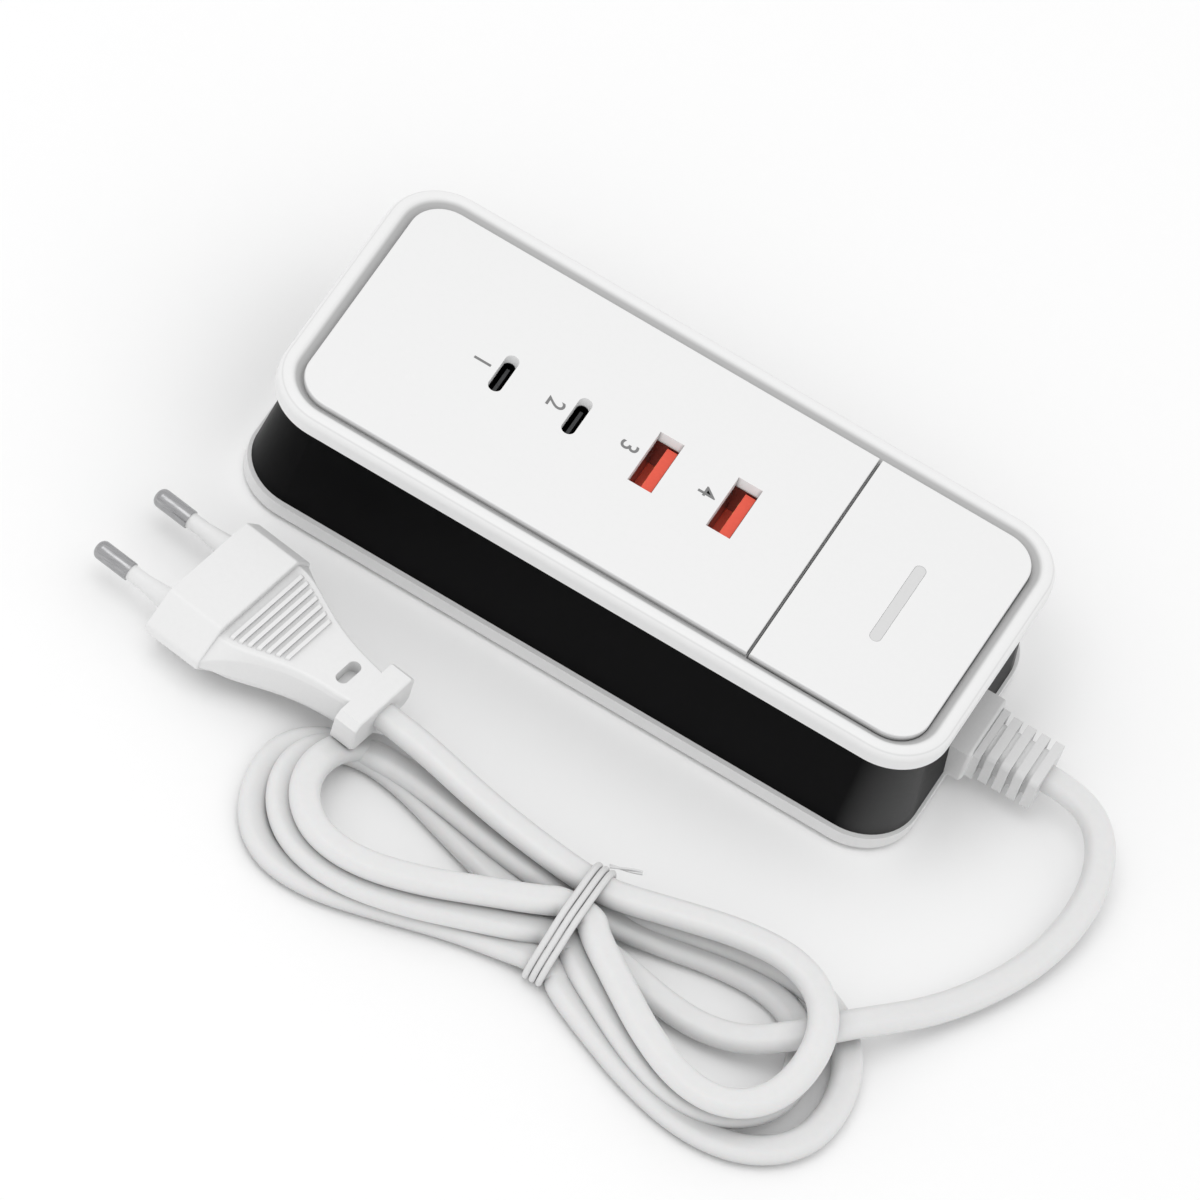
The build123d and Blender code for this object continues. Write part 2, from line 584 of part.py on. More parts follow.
def port_board_screws():
    """Screws up through the port board into the panel's bosses."""
    return group(small_screw(x, y, Z_PORT_BOARD, 1) for x, y in BOSSES)


def link_pins():
    """Pin row between the two boards."""
    pins = []
    for index in range(PIN_COUNT):
        y = (index - (PIN_COUNT - 1) / 2) * PIN_PITCH
        half = PIN_SIDE / 2
        pins.append(block(LINK_X - half, LINK_X + half, y - half, y + half, Z_BOARD_TOP, Z_PORT_BOARD))
    return group(pins)


TRANSFORMER_LOW = -BOARD_LENGTH / 2 + TRANSFORMER_GAP
TRANSFORMER_HIGH = PORT_BOARD_LOW - TRANSFORMER_GAP
STRIP_Y = (PORT_BOARD_WIDTH + BOARD_WIDTH) / 4


def transformer_winding():
    """Taped coil between the core's end plates."""
    half = TRANSFORMER[0] / 2
    z_middle = Z_BOARD_TOP + TRANSFORMER[1] / 2
    coil = block(
        TRANSFORMER_LOW + WINDING_INSET, TRANSFORMER_HIGH - WINDING_INSET, -half, half,
        z_middle - WINDING_HEIGHT / 2, z_middle + WINDING_HEIGHT / 2,
    )
    return fillet(coil.edges().filter_by(Axis.X), WINDING_HEIGHT / 4)


def transformer_core():
    """Ferrite frame round the coil."""
    half = TRANSFORMER[0] / 2 - WINDING_INSET
    core = block(
        TRANSFORMER_LOW, TRANSFORMER_HIGH, -half, half, Z_BOARD_TOP, Z_BOARD_TOP + TRANSFORMER[1]
    )
    return core - transformer_winding()


def lying_can(x, y, diameter, length):
    """An electrolytic can that lies along the board, with a crimp near one end."""
    middle = Pos(x, y, Z_BOARD_TOP + diameter / 2) * Rot(0, 90, 0)
    can = Cylinder(diameter / 2, length)
    crimp = Pos(0, 0, length / 2 - 3) * (Cylinder(diameter / 2, 1) - Cylinder(diameter / 2 - 0.5, 1))
    return middle * (can - crimp)


def bulk_capacitor():
    """Large electrolytic can beside the port board."""
    return lying_can(BULK_SHARE * BOARD_LENGTH, STRIP_Y, *BULK_CAPACITOR)


def output_capacitors():
    """Small upright cans beside the port board."""
    cans = []
    for share in OUTPUT_CAPACITOR_SHARES:
        x = share * BOARD_LENGTH
        cans.append(post(x, STRIP_Y, OUTPUT_CAPACITOR[0], Z_BOARD_TOP, Z_BOARD_TOP + OUTPUT_CAPACITOR[1]))
    return group(cans)


def on_board(x, y, sizes):
    """A box of the given sizes that stands on the power board."""
    return block(
        x - sizes[0] / 2, x + sizes[0] / 2, y - sizes[1] / 2, y + sizes[1] / 2,
        Z_BOARD_TOP, Z_BOARD_TOP + sizes[2],
    )


def filter_capacitor():
    """Box capacitor near the cord entry."""
    box = on_board(FILTER_SHARE * BOARD_LENGTH, -STRIP_Y, FILTER_CAPACITOR)
    return fillet(box.edges().filter_by(Axis.Z), 0.8)


def filter_choke():
    """Ring choke that lies on the board."""
    x = CHOKE_SHARE * BOARD_LENGTH
    ring = post(x, STRIP_Y, CHOKE[0], Z_BOARD_TOP, Z_BOARD_TOP + CHOKE[2])
    return ring - post(x, STRIP_Y, CHOKE[1], Z_BOARD_TOP, Z_BOARD_TOP + CHOKE[2])


def bridge_rectifier():
    """Flat rectifier package standing on edge."""
    return on_board(RECTIFIER_SHARE * BOARD_LENGTH, -STRIP_Y, RECTIFIER)


def fuse():
    """Round fuse at the end of the board."""
    return post(FUSE_SHARE * BOARD_LENGTH, -STRIP_Y, FUSE[0], Z_BOARD_TOP, Z_BOARD_TOP + FUSE[1])


HEAT_SINK_X = HEAT_SINK_SHARE * BOARD_LENGTH


def heat_sink():
    """Bent aluminium plate with a foot on the board."""
    plate = on_board(HEAT_SINK_X, -STRIP_Y, HEAT_SINK)
    y_low = -STRIP_Y - HEAT_SINK[1] / 2
    return plate + block(
        HEAT_SINK_X - HEAT_SINK[0] / 2, HEAT_SINK_X + HEAT_SINK[0] / 2,
        y_low - HEAT_SINK_FOOT + HEAT_SINK[1], y_low, Z_BOARD_TOP, Z_BOARD_TOP + HEAT_SINK[1],
    )


def power_transistor():
    """Flat transistor against the heat sink."""
    y = -STRIP_Y + HEAT_SINK[1] / 2 + TRANSISTOR[1] / 2
    return on_board(HEAT_SINK_X, y, TRANSISTOR)


def switch_body():
    """Push switch on the board under the plate's boss."""
    body = on_board(SWITCH_X, 0, SWITCH)
    top = Z_BOARD_TOP + SWITCH[2]
    bore = PLUNGER_DIAMETER + 2 * PLUNGER_CLEAR
    return body - post(SWITCH_X, 0, bore, top - PLUNGER_DEPTH - BUTTON_TRAVEL - STOP_GAP, top)


def switch_plunger():
    """Plunger that the plate's boss pushes into the switch."""
    top = Z_BOARD_TOP + SWITCH[2]
    return post(SWITCH_X, 0, PLUNGER_DIAMETER, top - PLUNGER_DEPTH, top + PLUNGER_RISE)


Z_LED_TOP = Z_UNDER - LENS_LEG - BUTTON_TRAVEL - LED_GAP


def indicator_led():
    """Lamp under the lens."""
    lamp = post(LENS_X, 0, LED_DIAMETER, Z_LED_TOP - LED_HEIGHT, Z_LED_TOP)
    return fillet(lamp.edges().group_by(Axis.Z)[-1], LED_DIAMETER / 3)


def led_holder():
    """Spacer that stands the lamp up from the board."""
    return post(LENS_X, 0, LED_DIAMETER + 2 * LED_HOLDER_WALL, Z_BOARD_TOP, Z_LED_TOP - LED_HEIGHT)


X_FLANGE = HOUSING_LENGTH / 2 - HOUSING_WALL - ENTRY_BLOCK[1] * DRAFT_SLOPE - ENTRY_FLANGE_GAP


def strain_relief():
    """Moulded cord entry: inner flange, neck in the housing's notch, outer block and ring relief."""
    width, height = ENTRY_BLOCK
    outer = block(X_FLANGE, ENTRY_BLOCK_END, -width / 2, width / 2, Z_BASE_TOP, Z_BASE_TOP + height)
    outer = fillet(outer.faces().sort_by(Axis.X)[-1].edges(), ENTRY_ROUND)
    outer -= flared(0, Z_BASE_TOP, Z_HOUSING_TOP)
    neck_half = ENTRY_NECK[0] / 2
    neck = block(
        X_FLANGE, BODY_LENGTH / 2 + FIT, -neck_half, neck_half, Z_BASE_TOP, Z_BASE_TOP + ENTRY_NECK[1]
    )
    half = ENTRY_FLANGE[1] / 2
    flange = block(
        X_FLANGE - ENTRY_FLANGE[0], X_FLANGE, -half, half, Z_BASE_TOP, Z_BASE_TOP + ENTRY_FLANGE[2]
    )
    along = Plane(origin=(ENTRY_BLOCK_END, 0, Z_CORD), x_dir=(0, 1, 0), z_dir=(1, 0, 0))
    core = extrude(along * RectangleRounded(*RELIEF_CORE, RELIEF_CORE_ROUND), RELIEF_LENGTH)
    step = extrude(along * RectangleRounded(*ENTRY_STEP[1:], ENTRY_ROUND), ENTRY_STEP[0])
    relief = outer + neck + flange + core + step
    for index in range(RELIEF_RINGS):
        back = RELIEF_LENGTH - RELIEF_RING[0] - index * RELIEF_PITCH
        section = along.offset(back) * RectangleRounded(*RELIEF_RING[1:], RELIEF_RING_ROUND)
        relief += extrude(section, RELIEF_RING[0])
    return relief


def mains_wire(side):
    """One insulated wire from the entry to the board, bent down to its pad."""
    y = side * WIRE_SPREAD
    z = Z_BOARD_TOP + WIRE_RISE
    x_end = BOARD_LENGTH / 2 - WIRE_END_INSET
    start = X_FLANGE - ENTRY_FLANGE[0]
    path = FilletPolyline((start, y, z), (x_end, y, z), (x_end, y, Z_BOARD_TOP), radius=WIRE_BEND)
    return sweep(Plane(origin=path @ 0, z_dir=path % 0) * Circle(WIRE_DIAMETER / 2), path=path)


Z_PLUG = PLUG_THICK / 2 * math.cos(math.radians(PLUG_TILT)) + PLUG_LIFT
PLUG_NECK_LENGTH = PLUG_SECTIONS[-1][0]
PLUG_LENGTH = PLUG_BLOCK_LENGTH + PLUG_NECK_LENGTH + PLUG_COLLAR[0]
PLUG_PLACE = (
    Pos(RELIEF_END - PLUG_REACH, PLUG_SIDE, Z_PLUG)
    * Rot(0, 0, PLUG_YAW)
    * Rot(0, -PLUG_TILT, 0)
)


def eight_corners(width, flat, edge, thick, radius):
    """A plug section: flat above and below, an upright edge at each side, soft corners."""
    quarter = [(width / 2, edge / 2), (flat / 2, thick / 2)]
    upper = quarter + [(-y, z) for y, z in reversed(quarter)]
    lower = [(-y, -z) for y, z in upper]
    section = make_face(Polyline(*upper, *lower, close=True))
    return fillet(section.vertices(), radius)


def plug_neck(rise, trim):
    """The waisted handle, with its sections made thicker by rise and narrower by trim."""
    sections = []
    for along, width, flat, edge, thick in PLUG_SECTIONS:
        across = Plane(origin=(PLUG_BLOCK_LENGTH + along, 0, 0), x_dir=(0, 1, 0), z_dir=(1, 0, 0))
        sections.append(across * eight_corners(
            width - 2 * trim, flat - 2 * trim, edge, thick + 2 * rise, PLUG_SECTION_ROUND
        ))
    return loft(sections)


def plug_body():
    """Two-pin plug: six-sided front block, waisted and ribbed handle, cord collar."""
    front = Plane(origin=(0, 0, 0), x_dir=(0, 1, 0), z_dir=(1, 0, 0))
    nose = eight_corners(PLUG_WIDTH, PLUG_FLAT, PLUG_EDGE, PLUG_THICK, PLUG_ROUND)
    body = extrude(front * nose, PLUG_BLOCK_LENGTH)
    body = fillet(body.faces().sort_by(Axis.X)[-1].edges(), PLUG_REAR_ROUND)
    body += plug_neck(0, 0)
    ribs = None
    for index in range(PLUG_RIB_COUNT):
        x = PLUG_BLOCK_LENGTH + PLUG_RIB_START + index * PLUG_RIB_PITCH
        slab = block(x, x + PLUG_RIB_THICK, -PLUG_WIDTH, PLUG_WIDTH, -PLUG_THICK, PLUG_THICK)
        ribs = slab if ribs is None else ribs + slab
    body += plug_neck(PLUG_RIB_RISE, PLUG_RIB_TRIM) & ribs
    start = PLUG_BLOCK_LENGTH + PLUG_NECK_LENGTH
    half_width, half_thick = PLUG_COLLAR[1] / 2, PLUG_COLLAR[2] / 2
    collar = block(start, start + PLUG_COLLAR[0], -half_width, half_width, -half_thick, half_thick)
    collar = chamfer(collar.edges().filter_by(Axis.X), PLUG_COLLAR_CORNER)
    body += fillet(collar.faces().sort_by(Axis.X)[-1].edges(), PLUG_COLLAR_ROUND)
    outline = SlotOverall(PLUG_SLOT[1], PLUG_SLOT[0], rotation=90)
    slot = extrude(Pos(PLUG_SLOT_X, 0, PLUG_THICK / 2) * outline, -PLUG_THICK)
    keep = PLUG_COLLAR[2] / 2 - PLUG_SLOT_DEPTH
    body -= slot & block(0, PLUG_LENGTH, -PLUG_WIDTH, PLUG_WIDTH, keep, PLUG_THICK)
    return PLUG_PLACE * body


def along_pin(side, start, end, diameter):
    """A round stretch of one contact pin, measured forward from the plug's face."""
    place = Pos(-(start + end) / 2, side * PIN_SPACING / 2, 0) * Rot(0, 90, 0)
    return place * Cylinder(diameter / 2, end - start)


def plug_pin(side):
    """One metal contact pin: a bare tip with a rounded end, and a core inside its sleeve."""
    tip = along_pin(side, SLEEVE_LENGTH, PIN_LENGTH, PIN_DIAMETER)
    tip = fillet(tip.edges().group_by(Axis.X)[0], PIN_DIAMETER / 2 - 0.6)
    return PLUG_PLACE * (tip + along_pin(side, 0, SLEEVE_LENGTH, PIN_CORE))


def pin_sleeve(side):
    """Insulating sleeve at the root of one contact pin."""
    tube = along_pin(side, 0, SLEEVE_LENGTH, SLEEVE_DIAMETER)
    root = Pos(-SLEEVE_ROOT[1] / 2, side * PIN_SPACING / 2, 0) * Rot(0, -90, 0)
    tube += root * Cone(SLEEVE_ROOT[0] / 2, SLEEVE_DIAMETER / 2, SLEEVE_ROOT[1])
    return PLUG_PLACE * (tube - along_pin(side, 0, SLEEVE_LENGTH, PIN_CORE + 2 * SLEEVE_FIT))


def lobe(centre, radius, near, near_radius):
    """Plan outline of one lobe of the hank: a big and a small circle, joined by tangents."""
    circles = [Pos(*centre) * Circle(radius), Pos(*near) * Circle(near_radius)]
    return make_hull(circles[0].edges() + circles[1].edges())


def cord_hank():
    """Outer shape of the tied turns: two open lobes and a waist, grooved for the tie."""
    left = lobe(LEFT_LOBE, LEFT_RADIUS, WAIST, WAIST_RADIUS)
    right = lobe(RIGHT_LOBE, RIGHT_RADIUS, WAIST, WAIST_RADIUS)
    x_low, x_high = WAIST[0] - WAIST_LENGTH / 2, WAIST[0] + WAIST_LENGTH / 2
    slab = block(x_low, x_high, WAIST[1] - BODY_WIDTH, WAIST[1] + BODY_WIDTH, 0, WAIST_HEIGHT)
    waist = (extrude(left, WAIST_HEIGHT) + extrude(right, WAIST_HEIGHT)) & slab
    before = block(-BODY_LENGTH, WAIST[0], -BODY_LENGTH, 0, 0, LEFT_HEIGHT)
    after = block(WAIST[0], BODY_LENGTH, -BODY_LENGTH, 0, 0, RIGHT_HEIGHT)
    hank = (extrude(left, LEFT_HEIGHT) & before) + (extrude(right, RIGHT_HEIGHT) & after) + waist
    hank -= extrude(lobe(LEFT_LOBE, LEFT_OPENING, LEFT_TIP, TIP_RADIUS), LEFT_HEIGHT)
    hank -= extrude(lobe(RIGHT_LOBE, RIGHT_OPENING, RIGHT_TIP, TIP_RADIUS), RIGHT_HEIGHT)
    groove = tie_block(BODY_LENGTH) - tie_block(0)
    return hank - groove


def tie_block(grow):
    """The bundle's section at the tie, grown all round, as long as the tie is wide."""
    across = Plane(
        origin=(WAIST[0] - TIE_WIDTH / 2, WAIST[1], WAIST_HEIGHT / 2), x_dir=(0, 1, 0), z_dir=(1, 0, 0)
    )
    width = 2 * (WAIST_RADIUS - TIE_THICK) + 2 * grow
    height = WAIST_HEIGHT - 2 * TIE_THICK + 2 * grow
    return extrude(across * RectangleRounded(width, height, TIE_CORNER), TIE_WIDTH)


def twist_tie():
    """Wire tie wound round the waist, with its loose tail."""
    ring = tie_block(TIE_THICK) - tie_block(0)
    path = Polyline(*from_exit([(-back, y, z) for back, y, z in TIE_TAIL_BACK]))
    section = Plane(origin=path @ 0, z_dir=path % 0) * Circle(TIE_TAIL_DIAMETER / 2)
    tail = sweep(section, path=path, transition=Transition.ROUND)
    return ring + tail


def cord_tail():
    """The cord from the plug's collar to the hank's waist."""
    exits = [(PLUG_PLACE * Pos(PLUG_LENGTH + ahead, 0, 0)).position for ahead in (0, CORD_LEAD_IN)]
    return cord_tube([*(tuple(point) for point in exits), *from_exit(TAIL_STEPS)], "cord_tail")


def build_all():
    """Every node of the charger by name."""
    nodes = {
        "base_tray": base_tray(),
        "rubber_feet": rubber_feet(),
        "case_screws": case_screws(),
        "mid_housing": mid_housing(),
        "top_frame": top_frame(),
        "port_panel": port_panel(),
        "power_button": power_button(),
        "indicator_lens": indicator_lens(),
        "main_board": main_board(),
        "board_screws": board_screws(),
        "port_board": port_board(),
        "port_board_screws": port_board_screws(),
        "link_pins": link_pins(),
        "transformer_core": transformer_core(),
        "transformer_winding": transformer_winding(),
        "bulk_capacitor": bulk_capacitor(),
        "output_capacitors": output_capacitors(),
        "filter_capacitor": filter_capacitor(),
        "filter_choke": filter_choke(),
        "bridge_rectifier": bridge_rectifier(),
        "fuse": fuse(),
        "heat_sink": heat_sink(),
        "power_transistor": power_transistor(),
        "switch_body": switch_body(),
        "switch_plunger": switch_plunger(),
        "indicator_led": indicator_led(),
        "led_holder": led_holder(),
        "strain_relief": strain_relief(),
        "live_wire": mains_wire(1),
        "neutral_wire": mains_wire(-1),
        "cord_lead": cord_tube(from_exit(LEAD_STEPS), "cord_lead"),
        "cord_hank": cord_hank(),
        "cord_tail": cord_tail(),
        "twist_tie": twist_tie(),
        "plug_body": plug_body(),
    }
    for index, x in enumerate(USB_C_X, start=1):
        nodes[f"usb_c_shell_{index}"] = usb_c_shell(x)
        nodes[f"usb_c_tongue_{index}"] = usb_c_tongue(x)
    for index, x in enumerate(USB_A_X, start=1):
        nodes[f"usb_a_shell_{index}"] = usb_a_shell(x)
        nodes[f"usb_a_tongue_{index}"] = usb_a_tongue(x)
        nodes[f"usb_a_contacts_{index}"] = usb_a_contacts(x)
    for index, side in enumerate((-1, 1), start=1):
        nodes[f"plug_pin_{index}"] = plug_pin(side)
        nodes[f"pin_sleeve_{index}"] = pin_sleeve(side)
    return nodes


os.makedirs("parts", exist_ok=True)
for name, shape in build_all().items():
    export_step(shape, f"parts/{name}.step")
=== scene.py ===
"""Studio scene of a low desktop USB charger with its tied mains cord and two-pin plug."""

import logging
import math
from dataclasses import dataclass
from enum import Enum

import bpy
from mathutils import Matrix, Vector


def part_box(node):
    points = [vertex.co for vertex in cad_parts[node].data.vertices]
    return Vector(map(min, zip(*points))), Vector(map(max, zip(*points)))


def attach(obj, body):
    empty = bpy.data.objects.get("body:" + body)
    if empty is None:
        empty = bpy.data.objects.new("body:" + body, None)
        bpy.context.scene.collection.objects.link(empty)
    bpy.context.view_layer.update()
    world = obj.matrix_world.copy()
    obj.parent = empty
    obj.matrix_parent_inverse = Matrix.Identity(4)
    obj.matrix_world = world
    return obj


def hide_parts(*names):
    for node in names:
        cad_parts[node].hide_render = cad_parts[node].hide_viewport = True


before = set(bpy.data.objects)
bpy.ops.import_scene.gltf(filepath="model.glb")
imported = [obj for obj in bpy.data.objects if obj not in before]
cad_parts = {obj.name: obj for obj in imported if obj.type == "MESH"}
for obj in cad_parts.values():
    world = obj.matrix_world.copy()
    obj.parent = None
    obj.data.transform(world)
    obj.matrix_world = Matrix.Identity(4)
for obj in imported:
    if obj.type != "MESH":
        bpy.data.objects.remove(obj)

LOG = logging.getLogger("charger")
MM = 0.001

# A mix node's colour sockets share their names with its other kinds, so they go by number
MIX_SHARE, MIX_FIRST, MIX_SECOND, MIX_RESULT = 0, 6, 7, 2
# The grain's finer detail, and how far bands wander
GRAIN_DETAIL, GRAIN_ROUGHNESS, BAND_WANDER = 3.0, 0.55, 0.4
# One wave of the band texture is a twentieth of a full turn long
BAND_SCALE = math.tau / 20
# Samples of the ambient occlusion behind the painted crease shade
CREASE_SAMPLES = 8
# The Z of a groove's normal at which its painted shade starts, and at which it is full
PAINTED_SHADE_FACING = (0.68, 0.78)
# The share of a corner's rounding at which its painted sheen is full
PAINTED_SHEEN_FULL = 0.5
# Steps in each quarter of a round wire's section
WIRE_FACETS = 5


def linear(shade: str) -> tuple[float, float, float, float]:
    """Turns an sRGB hex shade into linear colour.

    Args:
        shade: The shade as "#rrggbb".

    Returns:
        Linear red, green and blue with full alpha.
    """
    parts = [int(shade[start:start + 2], 16) / 255 for start in (1, 3, 5)]
    red, green, blue = (p / 12.92 if p <= 0.04045 else ((p + 0.055) / 1.055) ** 2.4 for p in parts)
    return red, green, blue, 1.0


def add_node(
    tree: bpy.types.NodeTree,
    kind: str,
    settings: dict[str, object],
    inputs: dict[str | int, object],
) -> bpy.types.Node:
    """Adds one shader node with its settings, values and links.

    Args:
        tree: The node tree to add to.
        kind: Blender's name for the kind of node.
        settings: The node's own properties by name.
        inputs: Its input sockets by name or number, each a value or another node's output.

    Returns:
        The new node.
    """
    node = tree.nodes.new(kind)
    for name, value in settings.items():
        setattr(node, name, value)
    for name, value in inputs.items():
        if isinstance(value, bpy.types.NodeSocket):
            tree.links.new(value, node.inputs[name])
        else:
            node.inputs[name].default_value = value
    return node


class Pattern(Enum):
    """What a surface's making leaves on it."""

    GRAIN = "grain"
    BANDS = "bands"


@dataclass(frozen=True)
class Finish:
    """A real material and how its surface was made.

    The pattern mixes shade into deep_shade, moves the roughness between its two ends and raises
    the surface by relief_mm. Its size is grain_mm, longer along an axis by stretch. Creases
    narrower than crease_mm turn to crease_shade, a painted shade. corner_mm is where the upright
    corners at a case's +X end start along X and Y, and their radius, and corner_specular is their
    raised specular, a painted sheen. Slopes that lie lower than groove_mm, fully from its first
    height, turn to groove_shade, a painted shade.
    """

    name: str
    shade: str
    deep_shade: str
    roughness: tuple[float, float]
    grain_mm: float
    relief_mm: float = 0.0
    stretch: tuple[float, float, float] = (1.0, 1.0, 1.0)
    pattern: Pattern = Pattern.GRAIN
    metallic: float = 0.0
    ior: float = 1.5
    specular: float = 0.5
    translucency: float = 0.0
    crease_shade: str = ""
    crease_mm: float = 0.0
    corner_mm: tuple[float, float, float] | None = None
    corner_specular: float = 0.0
    groove_shade: str = ""
    groove_mm: tuple[float, float] | None = None

    def material(self) -> bpy.types.Material:
        """Gives the finish's node material, made on its first use."""
        made = bpy.data.materials.get(self.name)
        return made if made else self._new_material()

    def _new_material(self) -> bpy.types.Material:
        """Builds the node material.

        Returns:
            The new material.
        """
        material = bpy.data.materials.new(self.name)
        material.use_nodes = True
        tree = material.node_tree
        tree.nodes.clear()
        place = add_node(tree, "ShaderNodeTexCoord", {}, {})
        scale = [1 / (self.grain_mm * MM * along) for along in self.stretch]
        spread = add_node(
            tree, "ShaderNodeMapping", {}, {"Vector": place.outputs["Object"], "Scale": scale}
        )
        if self.pattern is Pattern.BANDS:
            drawn = add_node(
                tree, "ShaderNodeTexWave", {"bands_direction": "Z"},
                {
                    "Vector": spread.outputs["Vector"], "Scale": BAND_SCALE,
                    "Distortion": BAND_WANDER,
                },
            )
        else:
            drawn = add_node(
                tree, "ShaderNodeTexNoise", {},
                {
                    "Vector": spread.outputs["Vector"], "Scale": 1.0, "Detail": GRAIN_DETAIL,
                    "Roughness": GRAIN_ROUGHNESS,
                },
            )
        height = drawn.outputs["Fac"]
        tone = add_node(
            tree, "ShaderNodeMix", {"data_type": "RGBA"},
            {
                MIX_SHARE: height, MIX_FIRST: linear(self.shade),
                MIX_SECOND: linear(self.deep_shade),
            },
        )
        gloss = add_node(
            tree, "ShaderNodeMapRange", {},
            {"Value": height, "To Min": self.roughness[0], "To Max": self.roughness[1]},
        )
        colour = tone.outputs[MIX_RESULT]
        # Painted shade: colour turns to crease_shade where ambient occlusion within crease_mm finds
        # surfaces
        if self.crease_mm:
            open_to_sky = add_node(
                tree, "ShaderNodeAmbientOcclusion", {"samples": CREASE_SAMPLES},
                {"Distance": self.crease_mm * MM},
            )
            painted_crease_mix = add_node(
                tree, "ShaderNodeMix", {"data_type": "RGBA"},
                {
                    MIX_SHARE: open_to_sky.outputs["AO"],
                    MIX_FIRST: linear(self.crease_shade), MIX_SECOND: colour,
                },
            )
            colour = painted_crease_mix.outputs[MIX_RESULT]
        # Painted shade on the low, upward-facing slopes of a groove
        if self.groove_mm:
            colour = self._grooved(tree, place.outputs["Object"], colour)
        bump = add_node(
            tree, "ShaderNodeBump", {}, {"Height": height, "Distance": self.relief_mm * MM}
        )
        shader = add_node(
            tree, "ShaderNodeBsdfPrincipled", {},
            {
                "Base Color": colour,
                "Roughness": gloss.outputs["Result"],
                "Normal": bump.outputs["Normal"],
                "Metallic": self.metallic,
                "IOR": self.ior,
                "Specular IOR Level": self._polish(tree, place.outputs["Object"]),
                "Subsurface Weight": self.translucency,
                "Subsurface Scale": MM,
            },
        )
        add_node(tree, "ShaderNodeOutputMaterial", {}, {"Surface": shader.outputs["BSDF"]})
        return material

    def _grooved(
        self, tree: bpy.types.NodeTree, place: bpy.types.NodeSocket, colour: bpy.types.NodeSocket
    ) -> bpy.types.NodeSocket:
        """Paints shade on a sloped groove that faces mostly up but lies below the rim round it.

        Args:
            tree: The node tree to add to.
            place: The socket with the place on the piece.
            colour: The socket with the colour outside the groove.

        Returns:
            The socket with the colour everywhere.
        """
        facing = add_node(tree, "ShaderNodeNewGeometry", {}, {}).outputs["Normal"]
        shares = []
        for vector, none, full in (
            (place, self.groove_mm[1] * MM, self.groove_mm[0] * MM), (facing, *PAINTED_SHADE_FACING)
        ):
            axes = add_node(tree, "ShaderNodeSeparateXYZ", {}, {"Vector": vector})
            share = add_node(
                tree, "ShaderNodeMapRange", {},
                {"Value": axes.outputs["Z"], "From Min": none, "From Max": full},
            )
            shares.append(share.outputs["Result"])
        both = add_node(
            tree, "ShaderNodeMath", {"operation": "MULTIPLY"}, {0: shares[0], 1: shares[1]}
        )
        shaded = add_node(
            tree, "ShaderNodeMix", {"data_type": "RGBA"},
            {
                MIX_SHARE: both.outputs["Value"], MIX_FIRST: colour,
                MIX_SECOND: linear(self.groove_shade),
            },
        )
        return shaded.outputs[MIX_RESULT]

    def _polish(self, tree: bpy.types.NodeTree, place: bpy.types.NodeSocket) -> object:
        """Works out how strongly the surface reflects, with a painted sheen at the +X end's
        corners.

        Args:
            tree: The node tree to add to.
            place: The socket with the place on the piece.

        Returns:
            One value, or the socket with a painted sheen: more specular at rounded upright corners.
        """
        if not self.corner_mm:
            return self.specular
        axes = add_node(tree, "ShaderNodeSeparateXYZ", {}, {"Vector": place})
        sides = []
        across = add_node(tree, "ShaderNodeMath", {"operation": "ABSOLUTE"}, {0: axes.outputs["Y"]})
        for away, start in zip((axes.outputs["X"], across.outputs["Value"]), self.corner_mm):
            end = start + self.corner_mm[2]
            side = add_node(
                tree, "ShaderNodeMapRange", {},
                {"Value": away, "From Min": start * MM, "From Max": end * MM},
            )
            sides.append(side.outputs["Result"])
        rounding = add_node(
            tree, "ShaderNodeMath", {"operation": "MULTIPLY"}, {0: sides[0], 1: sides[1]}
        )
        level = add_node(
            tree, "ShaderNodeMapRange", {},
            {
                "Value": rounding.outputs["Value"], "From Max": PAINTED_SHEEN_FULL,
                "To Min": self.specular, "To Max": self.corner_specular,
            },
        )
        return level.outputs["Result"]


# Spark-eroded tool faces leave white ABS evenly matt with a faint sparkle
# Creases get a painted shade, and so do the low slopes of the groove round the panel
WHITE_ABS = Finish(
    "white_abs_moulded", "#ededed", "#eaeaea", (0.42, 0.5), 0.8, 0.004, crease_shade="#b4b4b4",
    crease_mm=3.0, groove_shade="#b9b9b9", groove_mm=(31.5, 32.0),
)
# A finer tool face makes the panel and the push plate look a touch smoother than the frame
# Narrow gaps, such as the seam between panel and push plate, get a dark painted shade
PANEL_ABS = Finish(
    "white_abs_smooth_moulded", "#ededed", "#ebebeb", (0.36, 0.42), 1.2, 0.003,
    crease_shade="#4a4a4a", crease_mm=0.8,
)
# A polished tool gives black ABS a satin that still shows soft broad lights
# The upright corners at the +X end get a painted sheen from raised specular
BLACK_ABS = Finish(
    "black_abs_satin_moulded", "#060607", "#040405", (0.36, 0.44), 0.9, 0.003, specular=0.06,
    corner_mm=(62.0, 20.8, 11.8), corner_specular=0.62,
)
# The bottom cover is the same resin and sheen, tinted a shade greyer
GREY_ABS = Finish("pale_grey_abs_moulded", "#e4e4e4", "#e0e0e0", (0.42, 0.52), 0.9, 0.004)
# Soft elastomer over the cord's entry is dull and a little grey
RELIEF_TPE = Finish("grey_white_elastomer_moulded", "#e2e2e2", "#dcdcdc", (0.5, 0.6), 0.7, 0.006)
# Extruded vinyl has a low sheen, with painted shade where its strands crowd together
CORD_PVC = Finish(
    "white_vinyl_extruded", "#e5e5e5", "#e0e0e0", (0.42, 0.52), 1.6, 0.006, translucency=0.05,
    crease_shade="#b0b0b0", crease_mm=6.0,
)
